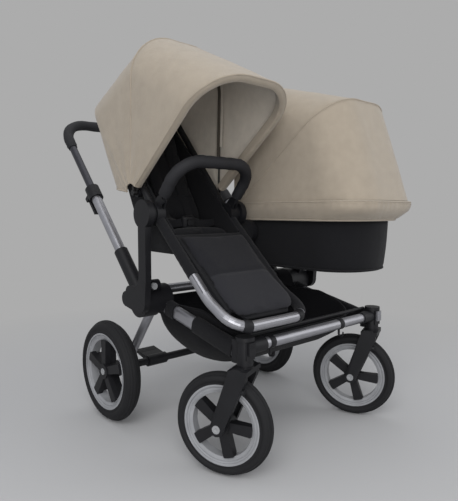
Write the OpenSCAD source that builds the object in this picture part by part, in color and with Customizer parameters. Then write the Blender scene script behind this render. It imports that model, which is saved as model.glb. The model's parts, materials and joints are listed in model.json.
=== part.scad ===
// Twin pram: a side-by-side frame that carries a forward-facing seat and a carrycot.
// Millimetres, +Z up, the pram drives towards -Y, and its right side (the seat) is at -X.

/* [Rear wheels] */
// Diameter of the rear wheels over the tyre
rear_wheel_d = 306; // [294:1:312]
// Width of the rear tyres
rear_tyre_w = 49; // [44:1:49]
// Depth of the rear tyres from tread to rim
rear_tyre_wall = 37; // [30:1:42]
// Distance between the middles of the rear wheels
rear_track = 678; // [678:1:700]
// Rear axle behind the frame's middle
rear_axle_y = 98; // [90:1:110]

/* [Front casters] */
// Diameter of the front wheels over the tyre
front_wheel_d = 255; // [246:1:262]
// Width of the front tyres
front_tyre_w = 43; // [38:1:46]
// Depth of the front tyres from tread to rim
front_tyre_wall = 28; // [24:1:32]
// Distance from the frame's middle to each swivel axis
caster_x = 273; // [265:1:280]
// Swivel axes behind the frame's middle
caster_y = -429; // [-439:1:-419]
// How far a front wheel trails behind its swivel axis
caster_trail = 55; // [48:1:58]
// Turn of the casters as the pram stands
caster_turn = 23; // [0:1:28]
// Diameter of the swivel stems
stem_d = 16; // [14:0.5:18]

/* [Wheel parts] */
// Number of spokes in a wheel
spoke_n = 5; // [4:1:6]
// Width of a spoke at the rim
spoke_w = 28; // [24:1:34]
// Radial depth of the rims
rim_depth = 20; // [16:1:24]
// Diameter of the axles
axle_d = 12; // [10:0.5:14]
// Diameter of the wheel release buttons
wheel_button_d = 20; // [16:0.5:22]

/* [Side joints] */
// Side joints behind the frame's middle
hub_y = -80; // [-84:1:-76]
// Height of the side joints
hub_z = 390; // [386:1:393]
// Radius of the side joints
hub_r = 44; // [42:1:46]
// Distance from the middle to the rear legs
leg_x = 285; // [282:1:288]
// Diameter of the rear legs
leg_d = 30; // [26:1:32]
// Thickness of the knuckle on top of a rear leg
knuckle_w = 26; // [22:1:28]

/* [Frame tubes] */
// Height of the oval side beams
beam_h = 38; // [34:1:40]
// Width of the oval side beams
beam_w = 22; // [18:1:24]
// Diameter of the cross tubes
cross_d = 28; // [24:1:30]
// Height of the cross tube between the side joints
mid_tube_z = 408; // [406:1:412]
// Diameter of the thin tube above the front cross tube
thin_tube_d = 10; // [8:1:12]

/* [Handle] */
// Distance from the middle to each handle arm
arm_x = 292; // [288:1:296]
// Lean of the handle arms above the ground
arm_angle = 47.3; // [46:0.1:49]
// Diameter of the fixed arm tubes
arm_tube_d = 32; // [30:0.5:34]
// Length of the fixed arm tubes
arm_tube_len = 440; // [420:1:460]
// Diameter of the sliding handlebar tube
bar_d = 25; // [22:0.5:27]
// Length from the side joints to the handlebar, along the arms
handle_len = 772; // [750:1:780]
// Bend radius of the handlebar
handle_bend_r = 95; // [85:1:105]
// Diameter of the padded grip
grip_d = 34; // [31:1:36]

/* [Seat and carrycot supports] */
// Half the width over the two inner supports
centre_half_w = 32; // [31:1:34]
// Room between the carrycot's tub and its supports
support_room = 14; // [14:1:15]
// Thickness of the supports
post_w = 18; // [16:1:18]
// Diameter of the round heads of the supports
head_d = 76; // [70:1:78]
// Supports behind the frame's middle
pivot_y = -130; // [-135:1:-125]
// Height of the seat's recline axis
seat_z = 632; // [628:1:636]
// Height of the carrycot's sockets
cot_z = 575; // [570:1:577]

/* [Seat] */
// Distance from the seat's middle to its frame tubes
seat_tube_x = 129; // [125:1:129]
// Diameter of the leg tube
leg_tube_d = 26; // [22:1:26]
// Diameter of the backrest tube
back_tube_d = 20; // [18:1:22]
// Lean of the backrest tube above the ground
back_angle = 50; // [48:0.5:54]
// Length of the backrest tube
back_len = 432; // [420:1:440]
// Diameter of the padded bumper bar
bumper_d = 32; // [28:1:32]
// Reach of the bumper bar in front of its hinge
bumper_reach = 130; // [124:1:140]
// Thickness of the seat cushion
seat_pad_t = 40; // [34:1:42]
// Thickness of the backrest cushion
back_pad_t = 36; // [30:1:40]
// Thickness of the leg panel
leg_pad_t = 20; // [16:1:24]

/* [Canopies] */
// How far both canopies stand out past the carrycot's tub on each side
canopy_over = 20; // [19:1:22]
// Thickness of the canopy fabric
canopy_t = 3; // [2:0.5:3]
// Diameter of the canopy ribs
rib_d = 6; // [5:0.5:6]
// Reach of the seat canopy's front rib from its pivot
seat_front_reach = 428; // [418:1:434]
// Reach of the seat canopy's middle rib
seat_mid_reach = 430; // [420:1:440]
// Reach of the seat canopy above the backrest
seat_back_reach = 388; // [384:1:394]
// Reach of the seat canopy's hem behind the backrest
seat_tail_reach = 178; // [172:1:184]
// Reach of the carrycot hood's middle rib
hood_mid_reach = 436; // [425:1:445]
// Reach of the carrycot hood's open rib
hood_open_reach = 408; // [400:1:420]

/* [Carrycot] */
// Half the width of the tub
tub_half_w = 143; // [138:1:143]
// Front end of the tub
tub_front_y = -501; // [-509:1:-494]
// Rear end of the tub at its rim
tub_rear_y = 196; // [180:1:198]
// Height of the tub's rim
tub_rim_z = 622; // [618:1:622]
// Height of the tub's underside
tub_bottom_z = 465; // [460:1:470]
// Thickness of the tub's walls
tub_wall = 8; // [6:1:10]
// Thickness of the mattress
mattress_t = 38; // [30:1:45]

/* [Basket] */
// Half the width of the basket at its rim
basket_half_w = 250; // [244:1:252]
// Lowest height of the basket
basket_low_z = 226; // [220:1:240]
// Height of the basket's rim at the back
basket_rim_z = 374; // [366:1:375]
// Rear end of the basket
basket_rear_y = 15; // [5:1:20]
// Thickness of the basket fabric
basket_t = 3; // [2:0.5:4]

/* [Hidden] */
$fn = 48;

// Colours of the photographed pram
black = [0.07, 0.07, 0.08];
cloth_black = [0.10, 0.10, 0.11];
panel_grey = [0.21, 0.21, 0.23];
silver = [0.72, 0.72, 0.74];
rim_white = [0.80, 0.81, 0.83];
button_white = [0.90, 0.90, 0.90];
beige = [0.85, 0.79, 0.71];
rubber = [0.13, 0.13, 0.14];
mattress_white = [0.88, 0.88, 0.87];

// Clearances: between pieces that pass, in a running bore (on diameter), and past a face
gap = 0.3;
running = 0.1;
proud = 1;

// Side joints
cheek_w = 15;
unit_half_w = tub_half_w + support_room;
unit_x = unit_half_w + centre_half_w;
canopy_half_w = tub_half_w + canopy_over;
hub_in_x = leg_x - knuckle_w / 2 - gap - cheek_w;
hub_gap_in = leg_x - knuckle_w / 2 - gap;
hub_gap_out = leg_x + knuckle_w / 2 + gap;
hub_out_x = unit_x + unit_half_w;
post_out_x = hub_out_x + post_w;
knuckle_r = hub_r - 16;
hub_pin_d = 14;
hub_web_from = -20;
hub_web_to = 225;
tube_boss_r = cross_d / 2 + 8;
mid_tube_y = hub_y + 45;
lobe_r = 16;
lobe_y = hub_y - 26;
lobe_z = hub_z + 46;
fold_button_x = hub_gap_out + 24;
fold_button_d = 18;
fold_button_len = 15;
fold_button_proud = 6;
fold_recess = 15;

// Handle arms: every length along them is measured from this foot
arm_y = hub_y + 65;
arm_z = hub_z;
arm_socket_from = 10;
arm_socket_to = 46;
arm_boss_d = arm_tube_d + 12;
sleeve_to = 172;
sleeve_d = arm_tube_d + 10;
sleeve_wall = 4;
clamp_len = 46;
clamp_d = arm_tube_d + 14;
bar_from = 190;
grip_from = handle_len - handle_bend_r - 40;
lever_len = 62;
lever_w = 22;
lever_t = 9;
lever_pin_d = 6;
lever_off = clamp_d / 2 + 6;

// Front corners
crown_gap = 7;
crown_h = 15;
crown_d = 44;
crown_z = front_wheel_d + crown_gap;
block_z = crown_z + crown_h + gap;
block_h = 69;
block_d = 39;
cap_d = 45;
cap_h = 9;
block_half_w = 13;
block_depth = 33;
block_front = block_d / 2;
socket_len = 62;
socket_d = cross_d + 7;
tube_in = 17;
front_tube_z = block_z + 41;
thin_tube_z = block_z + block_h - thin_tube_d / 2 - 2;
thin_tube_y = caster_y + 24;
stem_len = 46;
lock_w = 20;
lock_h = 30;
lock_t = 6;
lock_z = block_z + 28;
lock_ridge = 4;
fork_arm_w = 18;
fork_top_r = 23;
fork_foot_r = 17.5;
fork_top_y = 5;
fork_knob_d = 14;
fork_knob_drop = 38;
front_spoke_turn = 20;
fork_in_x = front_tyre_w / 2 + 5;
wheel_hub_d = 46;
wheel_hub_half = front_tyre_w / 2 + 1;
rear_hub_half = rear_tyre_w / 2;
button_recess = 10;
button_len = 7.5;
button_proud = 1.5;
spoke_t = 18;

// Side beams, from the side joints down to the front corners
beam_rear_z = hub_z - 10;
beam_front_z = block_z + 23;
beam_slope = (beam_rear_z - beam_front_z) / (hub_y - caster_y);

// Rear axle
axle_z = rear_wheel_d / 2;
rear_wheel_x = rear_track / 2;
boot_d = 50;
boot_out_x = rear_wheel_x - rear_tyre_w / 2 - 2;
boot_in_x = leg_x - leg_d / 2 - 2;
axle_tube_d = 24;
pedal_x = -170;
pedal_w = 70;

// Supports
post_half = 17.5;
post_elbow_z = 455;
post_foot_r = 31;
post_foot = [hub_y - 31, hub_z + 6];
centre_foot_r = 30;
tongue_half = 11;
tongue_up = 20;
tongue_down = 28;
tongue_len = 8;
carrier_r = 28;
carrier_in = unit_half_w - 12.7;
carrier_out = unit_half_w - gap;
recline_pin_d = 20;

// Seat frame
seat_hub_d = 64;
seat_hub_in = seat_tube_x - 11;
seat_hub_out = carrier_in - 0.6;
knee_y = -349;
knee_z = 425;
foot_y = -445;
foot_z = 372;
knee_bend_r = 150;
foot_bend_r = 55;
back_bend_r = 60;
bumper_y = pivot_y - 29;
bumper_z = seat_z + 36;
bumper_angle = 50;
bumper_bend_r = 70;
ear_t = 4;
tongue_t = 7.4;
ear_r = 13;
bumper_pin_d = 8;
bumper_eye_r = 10;

// Seat sling: side view, from the head end round the hip and the knee to the foot end
sling_t = 6;
sling_x = seat_tube_x - leg_tube_d / 2 - gap;
head_end = [149, 946];
hip = [-45, 560];
pan_rear = [-64, 528];
pan_front = [-178, 566];
knee_edge = [-196, 580];
foot_end = [-397, 409.2];
sling_path = [head_end, hip, pan_rear, pan_front, knee_edge, foot_end];
sling_toe = foot_end + unit(foot_end - knee_edge) * 36;
sling_wall = [head_end, hip, pan_rear, [-185, 526], knee_edge, [-130, 645]];
pad_half_w = sling_x - sling_t - gap;
strap_t = 2;
strap_w = 26;
strap_x = 42;

// Canopies: side view, angles rise from straight ahead and reaches run from the pivot
seat_canopy_y = -60;
seat_canopy_z = 690;
hood_y = -75;
hood_z = 650;
rib_gap = 2;
mid_layer = canopy_half_w - canopy_t - rib_gap - rib_d / 2;
front_layer = mid_layer - rib_d - 1;
rib_pin_d = 6;
rib_eye_d = 15;
canopy_root = 26;
seat_front_angle = 39;
seat_mid_angle = 88;
seat_back_angle = 130;
seat_tail_angle = 150;
hood_mid_angle = 45;
hood_open_angle = 92;
arch_r = 126;
// Each row is angle, reach, half width and corner radius
seat_rows = [
    [seat_front_angle, seat_front_reach, canopy_half_w, arch_r],
    [seat_mid_angle, seat_mid_reach, canopy_half_w, arch_r],
    [seat_back_angle, seat_back_reach, canopy_half_w, arch_r - 16],
    [seat_tail_angle, seat_tail_reach, canopy_half_w - 4, 80]
];
hood_rows = [
    [-3.2, hood_y - tub_front_y + 4, 154, 126],
    [6.5, hood_y - tub_front_y + 28, canopy_half_w, 140],
    [hood_mid_angle, hood_mid_reach, canopy_half_w, 115],
    [hood_open_angle, hood_open_reach, canopy_half_w, 110]
];

// Carrycot
ring_d = 14;
ring_z = tub_rim_z + gap + ring_d / 2;
ring_half_w = tub_half_w - ring_d / 2;
ring_bend_r = 120;
tub_r = tub_half_w - 3;
tub_rear_slope = 0.95;
apron_front_y = -29;
apron_t = 4;
apron_crown = 26;

function unit(v) = v / norm(v);
function mix(a, b, k) = a * (1 - k) + b * k;
function beam_z(y) = beam_front_z + beam_slope * (y - caster_y);
function arm_point(x, s) = [x, arm_y + s * cos(arm_angle), arm_z + s * sin(arm_angle)];
function turn(a, b, c) = acos(max(-1, min(1, unit(b - a) * unit(c - b))));
function flat(rows) = [for (row = rows) each row];

// Lays a solid that is drawn along +Z between two points
module along(p, q) {
    d = q - p;
    translate(p) rotate([0, acos(d.z / norm(d)), atan2(d.y, d.x)]) children();
}

module rod(p, q, d) {
    along(p, q) cylinder(d = d, h = norm(q - p));
}

// U-shaped bar: legs rise along +Z from z = from, with round corners and a top bar along X
module u_bar(half_w, reach, r, d, from) {
    for (s = [0, 1]) mirror([s, 0, 0]) {
        translate([half_w, 0, from]) cylinder(d = d, h = reach - r - from);
        translate([half_w - r, 0, reach - r]) rotate([90, 0, 0])
            rotate_extrude(angle = 90) translate([r, 0]) circle(d = d);
    }
    pin(-half_w + r, half_w - r, 0, reach, d);
}

// Moves a solid from the origin to (y, z) and leans its +Z axis to an angle above straight back
module lean(y, z, angle) {
    translate([0, y, z]) rotate([angle - 90, 0, 0]) children();
}

// Points along straight runs with a round bend at each inner point
bend_steps = 7;
function bend_points(a, b, c, r) =
    let (
        t = turn(a, b, c),
        u = unit(b - a),
        centre = b + unit(unit(a - b) + unit(c - b)) * r / cos(t / 2),
        out = unit(b - u * r * tan(t / 2) - centre)
    )
    [for (i = [0 : bend_steps]) let (k = t * i / bend_steps) centre + r * (out * cos(k) + u * sin(k))];
function round_path(pts, radii) = let (n = len(pts)) concat(
    [pts[0]],
    [for (i = [1 : n - 2]) each bend_points(pts[i - 1], pts[i], pts[i + 1], radii[i - 1])],
    [pts[n - 1]]
);

// Round tube swept along points; the path never runs along the reference direction
tube_sides = 16;
module swept_tube(path, d, reference) {
    n = len(path);
    rings = [for (i = [0 : n - 1])
        let (
            t = unit(path[min(i + 1, n - 1)] - path[max(i - 1, 0)]),
            u = unit(cross(reference, t)),
            v = cross(t, u)
        )
        [for (k = [0 : tube_sides - 1]) let (w = 360 * k / tube_sides)
            path[i] + d / 2 * (u * cos(w) + v * sin(w))]];
    loft(rings, path[0], path[n - 1]);
}

// Extrudes a side-view outline, drawn as (y, z), from x0 to x1
module side_plate(x0, x1) {
    translate([x0, 0, 0]) rotate([90, 0, 90]) linear_extrude(x1 - x0) children();
}

// Cylinder along X
module pin(x0, x1, y, z, d) {
    translate([x0, y, z]) rotate([0, 90, 0]) cylinder(d = d, h = x1 - x0);
}

// Flat bar with round ends
module capsule(p, q, r0, r1) {
    n = unit([p.y - q.y, q.x - p.x]);
    translate(p) circle(r = r0);
    translate(q) circle(r = r1);
    polygon([p + n * r0, q + n * r1, q - n * r1, p - n * r0]);
}

module stadium(l, w) {
    square([l - w, w], center = true);
    for (s = [-1, 1]) translate([s * (l - w) / 2, 0]) circle(d = w);
}

module on_left(left) {
    mirror([left ? 1 : 0, 0, 0]) children();
}

// Closed skin between an outer and an inner grid of points, given as rows of equal length
module skin(outer, inner) {
    r = len(outer);
    c = len(outer[0]);
    function o(i, j) = i * c + j;
    function n(i, j) = r * c + i * c + j;
    faces = flat([
        [for (i = [0 : r - 2], j = [0 : c - 2]) each
            [[o(i, j), o(i, j + 1), o(i + 1, j + 1)], [o(i, j), o(i + 1, j + 1), o(i + 1, j)]]],
        [for (i = [0 : r - 2], j = [0 : c - 2]) each
            [[n(i, j), n(i + 1, j + 1), n(i, j + 1)], [n(i, j), n(i + 1, j), n(i + 1, j + 1)]]],
        [for (i = [0 : r - 2]) each [
            [o(i, 0), o(i + 1, 0), n(i + 1, 0)], [o(i, 0), n(i + 1, 0), n(i, 0)],
            [o(i, c - 1), n(i + 1, c - 1), o(i + 1, c - 1)], [o(i, c - 1), n(i, c - 1), n(i + 1, c - 1)]]],
        [for (j = [0 : c - 2]) each [
            [o(0, j), n(0, j + 1), o(0, j + 1)], [o(0, j), n(0, j), n(0, j + 1)],
            [o(r - 1, j), o(r - 1, j + 1), n(r - 1, j + 1)], [o(r - 1, j), n(r - 1, j + 1), n(r - 1, j)]]]
    ]);
    polyhedron(points = concat(flat(outer), flat(inner)), faces = faces);
}

// Closed loft through rings of equal length, ended by a fan to a point at each end
module loft(rings, first, last) {
    m = len(rings);
    c = len(rings[0]);
    faces = concat(
        [for (i = [0 : m - 2], j = [0 : c - 1]) each [
            [i * c + j, (i + 1) * c + j, (i + 1) * c + (j + 1) % c],
            [i * c + j, (i + 1) * c + (j + 1) % c, i * c + (j + 1) % c]]],
        [for (j = [0 : c - 1]) [m * c, j, (j + 1) % c]],
        [for (j = [0 : c - 1]) [m * c + 1, (m - 1) * c + (j + 1) % c, (m - 1) * c + j]]
    );
    polyhedron(points = concat(flat(rings), [first, last]), faces = faces);
}

// Rounded outline in plan, as points with a height that the caller adds
corner_steps = 7;
function round_outline(x0, x1, y0, y1, r) = [
    for (k = [[x1 - r, y1 - r, 0], [x0 + r, y1 - r, 90], [x0 + r, y0 + r, 180], [x1 - r, y0 + r, 270]])
        for (i = [0 : corner_steps]) let (a = k[2] + 90 * i / corner_steps)
            [k[0] + r * cos(a), k[1] + r * sin(a)]
];
function at_z(outline, z) = [for (p = outline) [p.x, p.y, z]];

// Cushion with a crown, sides that draw in between the corners, and creases across it
pad_u = 10;
pad_seam = 4;
function pad_crown(u, v) = pow((1 - pow(abs(u), 4)) * (1 - pow(abs(v), 4)), 0.4);
function pad_dent(v, creases) = 1 - 0.5 * max([0, for (c = creases) exp(-pow((v - c) / 0.09, 2))]);
// Half the width at v, drawn in round a corner radius r at the lower end
function pad_half(w, l, r, v) = let (d = max(0, r - (1 + v) * l / 2)) w / 2 - r + sqrt(r * r - d * d);
function pad_point(w, l, r, u, v) = [
    pad_half(w, l, r, v) * u * (1 - 0.03 * (1 - v * v)),
    l / 2 * v * (1 - 0.03 * (1 - u * u))
];
module pad(w, l, t, creases = [], r = 0, rows = 12) {
    us = [for (i = [0 : pad_u]) 2 * i / pad_u - 1];
    vs = [for (i = [0 : rows]) let (k = i / rows) 2 * (r > 0 ? pow(k, 1.4) : k) - 1];
    top = [for (v = vs) [for (u = us) let (p = pad_point(w, l, r, u, v))
        [p.x, p.y, pad_seam + (t - pad_seam) * pad_crown(u, v) * pad_dent(v, creases)]]];
    bottom = [for (v = vs) [for (u = us) let (p = pad_point(w, l, r, u, v)) [p.x, p.y, 0]]];
    skin(bottom, top);
}

// Half of an arch, from the pivot outwards: straight side, round corner, then half the top
side_steps = 4;
arch_steps = 6;
top_steps = 3;
function half_arch(reach, half_w, r, from) = concat(
    [for (i = [0 : side_steps - 1]) [half_w, mix(from, reach - r, i / side_steps)]],
    [for (i = [0 : arch_steps]) let (a = 90 * i / arch_steps)
        [half_w - r + r * cos(a), reach - r + r * sin(a)]],
    [for (i = [1 : top_steps]) [(half_w - r) * (1 - i / top_steps), reach]]
);
function whole_arch(reach, half_w, r, from) =
    let (h = half_arch(reach, half_w, r, from), n = len(h))
    concat([for (p = h) [-p.x, p.y]], [for (i = [n - 2 : -1 : 0]) h[i]]);
function arch_row(row, inset, y, z) = [
    for (p = whole_arch(row[1] - inset, row[2] - inset, row[3] - inset, canopy_root))
        [p.x, y - p.y * cos(row[0]), z + p.y * sin(row[0])]
];
// Rows between two ribs follow the chord, with a slight outward swell
panel_steps = 4;
panel_swell = 0.25;
function panel_row(a, b, k, inset, y, z) =
    let (
        ra = arch_row(a, inset, y, z),
        rb = arch_row(b, inset, y, z),
        arc = arch_row(mix(a, b, k), inset, y, z)
    )
    mix(mix(ra, rb, k), arc, panel_swell);
function canopy_rows(rows, inset, y, z) = concat(
    [for (i = [0 : len(rows) - 2], s = [0 : panel_steps - 1])
        panel_row(rows[i], rows[i + 1], s / panel_steps, inset, y, z)],
    [arch_row(rows[len(rows) - 1], inset, y, z)]
);
module canopy(rows, y, z) {
    skin(canopy_rows(rows, 0, y, z), canopy_rows(rows, canopy_t, y, z));
}

// U-shaped canopy rib with an eye round the pivot at each end
module rib(row, layer, y, z) {
    inset = row[2] - layer;
    eye_half = rib_d / 2 + 0.3;
    lean(y, z, 180 - row[0])
        u_bar(layer, row[1] - inset, row[3] - inset, rib_d, rib_eye_d / 2 - 1);
    for (s = [-1, 1]) difference() {
        pin(s * layer - eye_half, s * layer + eye_half, y, z, rib_eye_d);
        pin(s * layer - rib_d, s * layer + rib_d, y, z, rib_pin_d + running);
    }
}

// Side joint: two cheeks with a web between them, sockets for the arm, tube and beam
module hub_outline() {
    translate([hub_y, hub_z]) circle(r = hub_r);
    capsule([hub_y, hub_z], [arm_y, arm_z], hub_r - 10, arm_boss_d / 2);
    capsule([hub_y, hub_z + 8], [mid_tube_y, mid_tube_z], hub_r - 12, tube_boss_r);
}

module hub() {
    color(black) difference() {
        union() {
            side_plate(hub_in_x, hub_gap_in) hub_outline();
            side_plate(hub_gap_out, hub_out_x) {
                hub_outline();
                capsule([hub_y - 6, hub_z + 20], [lobe_y, lobe_z], lobe_r + 4, lobe_r);
            }
            side_plate(hub_gap_in - proud, hub_gap_out + proud) difference() {
                hub_outline();
                translate([hub_y, hub_z]) circle(r = knuckle_r + 1);
                translate([hub_y, hub_z]) polygon(concat([[0, 0]],
                    [for (i = [0 : 6]) let (a = hub_web_to + (360 + hub_web_from - hub_web_to) * i / 6)
                        4 * hub_r * [cos(a), sin(a)]]));
            }
            pin(hub_gap_in - proud, hub_gap_out + proud, hub_y, hub_z, hub_pin_d);
            rod(arm_point(arm_x, 0), arm_point(arm_x, arm_socket_to), arm_boss_d);
        }
        rod(arm_point(arm_x, arm_socket_from), arm_point(arm_x, arm_socket_to + proud),
            arm_tube_d + running);
        fold_bore(fold_button_d + 2 * gap, fold_recess + proud, proud);
    }
}

// Round shape on the front of a side joint's lobe, as long as l and standing out by front
module fold_bore(d, l, front) {
    translate([fold_button_x, lobe_y - lobe_r - front, lobe_z]) rotate([-90, 0, 0]) cylinder(d = d, h = l);
}

module right_hub() { mirror([1, 0, 0]) hub(); }
module left_hub() { hub(); }

// Button on the front of a side joint that frees the fold
module fold_button() {
    color(button_white) fold_bore(fold_button_d, fold_button_len, fold_button_proud);
}
module right_fold_button() { mirror([1, 0, 0]) fold_button(); }
module left_fold_button() { fold_button(); }

// Oval side beams between the side joints and the front corners
module front_beams() {
    color(silver) for (left = [false, true]) on_left(!left) difference() {
        along([caster_x, hub_y, beam_z(hub_y)], [caster_x, caster_y, beam_z(caster_y)])
            linear_extrude(norm([hub_y - caster_y, beam_rear_z - beam_front_z])) stadium(beam_h, beam_w);
        pin(0, 2 * caster_x, hub_y, hub_z, 2 * hub_r + 2 * gap);
        translate([0, caster_y - block_depth, 0]) cube([2 * caster_x, 2 * block_depth, 2 * hub_z]);
    }
}

// Front corner casting: bore for the swivel stem, socket for the cross tube, seat for the beam
module corner_block() {
    color(black) difference() {
        union() {
            translate([caster_x, caster_y, block_z]) cylinder(d = block_d, h = block_h);
            translate([caster_x, caster_y, block_z + block_h - cap_h]) cylinder(d = cap_d, h = cap_h);
            translate([caster_x - block_half_w, caster_y, block_z + 3])
                cube([2 * block_half_w, block_depth, block_h - 12]);
            translate([caster_x - block_half_w, caster_y - block_front, lock_z - 12])
                cube([2 * block_half_w, block_front, lock_h + 12]);
            pin(caster_x - socket_len, caster_x, caster_y, front_tube_z, socket_d);
        }
        translate([caster_x, caster_y, block_z - proud])
            cylinder(d = stem_d + running, h = stem_len + 3 + proud);
        pin(caster_x - socket_len - proud, caster_x - tube_in + proud, caster_y, front_tube_z,
            cross_d + running);
    }
}
module right_corner_block() { mirror([1, 0, 0]) corner_block(); }
module left_corner_block() { corner_block(); }

module front_cross_tubes() {
    color(silver) pin(-caster_x + tube_in, caster_x - tube_in, caster_y, front_tube_z, cross_d);
    color(black) pin(-caster_x + block_half_w, caster_x - block_half_w, thin_tube_y, thin_tube_z,
        thin_tube_d);
}

module mid_cross_tube() {
    color(silver) pin(-hub_in_x, hub_in_x, mid_tube_y, mid_tube_z, cross_d);
}

// Slider on a front corner that locks the caster straight
module swivel_lock() {
    color(silver) difference() {
        translate([caster_x - lock_w / 2, caster_y - block_front - gap - lock_t, lock_z])
            cube([lock_w, lock_t, lock_h]);
        for (i = [1 : 3]) pin(caster_x - lock_w, caster_x + lock_w, caster_y - block_front - gap - lock_t,
            lock_z + lock_h - lock_ridge * i, lock_ridge / 2);
    }
}
module right_swivel_lock() { mirror([1, 0, 0]) swivel_lock(); }
module left_swivel_lock() { swivel_lock(); }

// Supports that the seat and the carrycot drop onto
module post_outline(z, foot, foot_r) {
    capsule([pivot_y, post_elbow_z], [pivot_y, z], post_half, post_half);
    capsule(foot, [pivot_y, post_elbow_z], foot_r, post_half);
    translate([pivot_y, z]) circle(d = head_d);
}

module tongue(x0, x1, z) {
    translate([x0, pivot_y - tongue_half, z - tongue_down])
        cube([x1 - x0, 2 * tongue_half, tongue_down + tongue_up]);
}

module outer_post(z) {
    side_plate(hub_out_x, post_out_x) post_outline(z, post_foot, post_foot_r);
    tongue(hub_out_x - tongue_len, hub_out_x + proud, z);
}

module outer_posts() {
    color(black) {
        mirror([1, 0, 0]) outer_post(seat_z);
        outer_post(cot_z);
    }
}

module centre_post() {
    inner = unit_x - unit_half_w;
    foot = [mid_tube_y, mid_tube_z];
    color(black) difference() {
        union() {
            side_plate(-inner, -inner + post_w) post_outline(seat_z, foot, centre_foot_r);
            side_plate(inner - post_w, inner) post_outline(cot_z, foot, centre_foot_r);
            pin(-inner, inner, foot.x, foot.y, cross_d + 18);
            tongue(-inner - tongue_len, -inner + proud, seat_z);
            tongue(inner - proud, inner + tongue_len, cot_z);
        }
        pin(-inner - proud, inner + proud, foot.x, foot.y, cross_d + running);
    }
}

// Fabric basket: a sagging bag with a high rim, and sleeves that run along the side beams
basket_front_y = caster_y + block_depth + 10;
basket_mid_y = (basket_rear_y + basket_front_y) / 2;
basket_half_l = (basket_rear_y - basket_front_y) / 2;
basket_front_z = beam_front_z + 16;
basket_fall_y = hub_y - 160;
basket_corner_r = 70;
basket_floor_rise = 40;
basket_tab_in = 4.5;
basket_depths = [0, 0.3, 0.6, 0.82, 0.95, 1];
function basket_floor(y) = basket_low_z + basket_floor_rise * pow((y - basket_mid_y) / basket_half_l, 2);
function basket_rim(y) = mix(basket_rim_z, basket_front_z,
    pow(max(0, (basket_fall_y - y) / (basket_fall_y - basket_front_y)), 1.3));
function basket_ring(k, t) =
    let (
        x = basket_half_w - t - 8 * k - 46 * pow(k, 5),
        y0 = basket_front_y + t + 12 * k + 50 * pow(k, 5),
        y1 = basket_rear_y - t - 60 * pow(k, 2) - 60 * pow(k, 5)
    )
    [for (p = round_outline(-x, x, y0, y1, basket_corner_r))
        [p.x, p.y, mix(basket_rim(p.y), basket_floor(p.y) + t, k)]];

module beam_sleeve(y0, y1) {
    intersection() {
        along([caster_x, hub_y, beam_z(hub_y)], [caster_x, caster_y, beam_z(caster_y)])
            linear_extrude(norm([hub_y - caster_y, beam_rear_z - beam_front_z])) difference() {
                stadium(beam_h + 2 * sleeve_wall, beam_w + 2 * sleeve_wall);
                stadium(beam_h + gap, beam_w + gap);
            }
        translate([caster_x - beam_w, y0, 0]) cube([2 * beam_w, y1 - y0, 2 * hub_z]);
    }
}

module basket() {
    color(cloth_black) {
        loft(concat([for (i = [len(basket_depths) - 1 : -1 : 0]) basket_ring(basket_depths[i], 0)],
            [for (k = basket_depths) basket_ring(k, basket_t)]),
            [0, basket_mid_y - 30, basket_low_z - 8], [0, basket_mid_y - 30, basket_low_z - 8 + basket_t]);
        for (left = [false, true]) on_left(!left) {
            beam_sleeve(hub_y - 80, hub_y - hub_r - 2);
            beam_sleeve(caster_y + block_depth + 2, hub_y - 165);
            for (y = [hub_y - 74, hub_y - 230])
                translate([basket_half_w - basket_tab_in, y, beam_z(y) - 14])
                    cube([caster_x - beam_w / 2 - 3 - basket_half_w + basket_tab_in, 18, 22]);
        }
    }
}

// Handle arms, their sleeves and the clamps that hold the sliding handlebar
module arm_tubes() {
    color(silver) for (left = [false, true]) on_left(!left) difference() {
        rod(arm_point(arm_x, arm_socket_from + gap), arm_point(arm_x, arm_tube_len), arm_tube_d);
        rod(arm_point(arm_x, arm_socket_from + 20), arm_point(arm_x, arm_tube_len + proud),
            bar_d + running);
    }
}

module arm_sleeves() {
    color(black) for (left = [false, true]) on_left(!left) difference() {
        rod(arm_point(arm_x, arm_socket_to + running), arm_point(arm_x, sleeve_to), sleeve_d);
        rod(arm_point(arm_x, arm_socket_to - proud), arm_point(arm_x, sleeve_to + proud),
            arm_tube_d + running);
    }
}

// Frame of a clamp: origin on the arm's axis at the clamp, Z along the arm, -Y towards the front
module at_clamp() {
    lean(arm_y, arm_z, arm_angle) translate([arm_x, 0, arm_tube_len - clamp_len / 2]) children();
}

module handle_clamps() {
    color(black) for (left = [false, true]) on_left(!left) at_clamp() {
        difference() {
            union() {
                translate([0, 0, -clamp_len / 2]) cylinder(d = clamp_d, h = clamp_len);
                for (s = [-1, 1]) translate([s * (lever_w / 2 + 3 + gap) - 3, 0, -8])
                    cube([6, lever_off + 5, 16]);
            }
            translate([0, 0, -clamp_len / 2 - proud])
                cylinder(d = arm_tube_d + running, h = clamp_len + 2 * proud);
            translate([-lever_w / 2 - gap, arm_tube_d / 2 + 4, -clamp_len])
                cube([lever_w + 2 * gap, clamp_d, 2 * clamp_len]);
        }
        pin(-lever_w / 2 - 3, lever_w / 2 + 3, lever_off, 0, lever_pin_d);
    }
}

// Flip lever of a clamp, lying along the arm
module clamp_lever() {
    color(black) at_clamp() difference() {
        union() {
            pin(-lever_w / 2, lever_w / 2, lever_off, 0, lever_t + 3);
            translate([-lever_w / 2 + 1, lever_off - lever_t / 2, -lever_len])
                cube([lever_w - 2, lever_t, lever_len]);
        }
        pin(-lever_w, lever_w, lever_off, 0, lever_pin_d + running);
    }
}
module right_clamp_lever() { mirror([1, 0, 0]) clamp_lever(); }
module left_clamp_lever() { clamp_lever(); }

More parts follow.
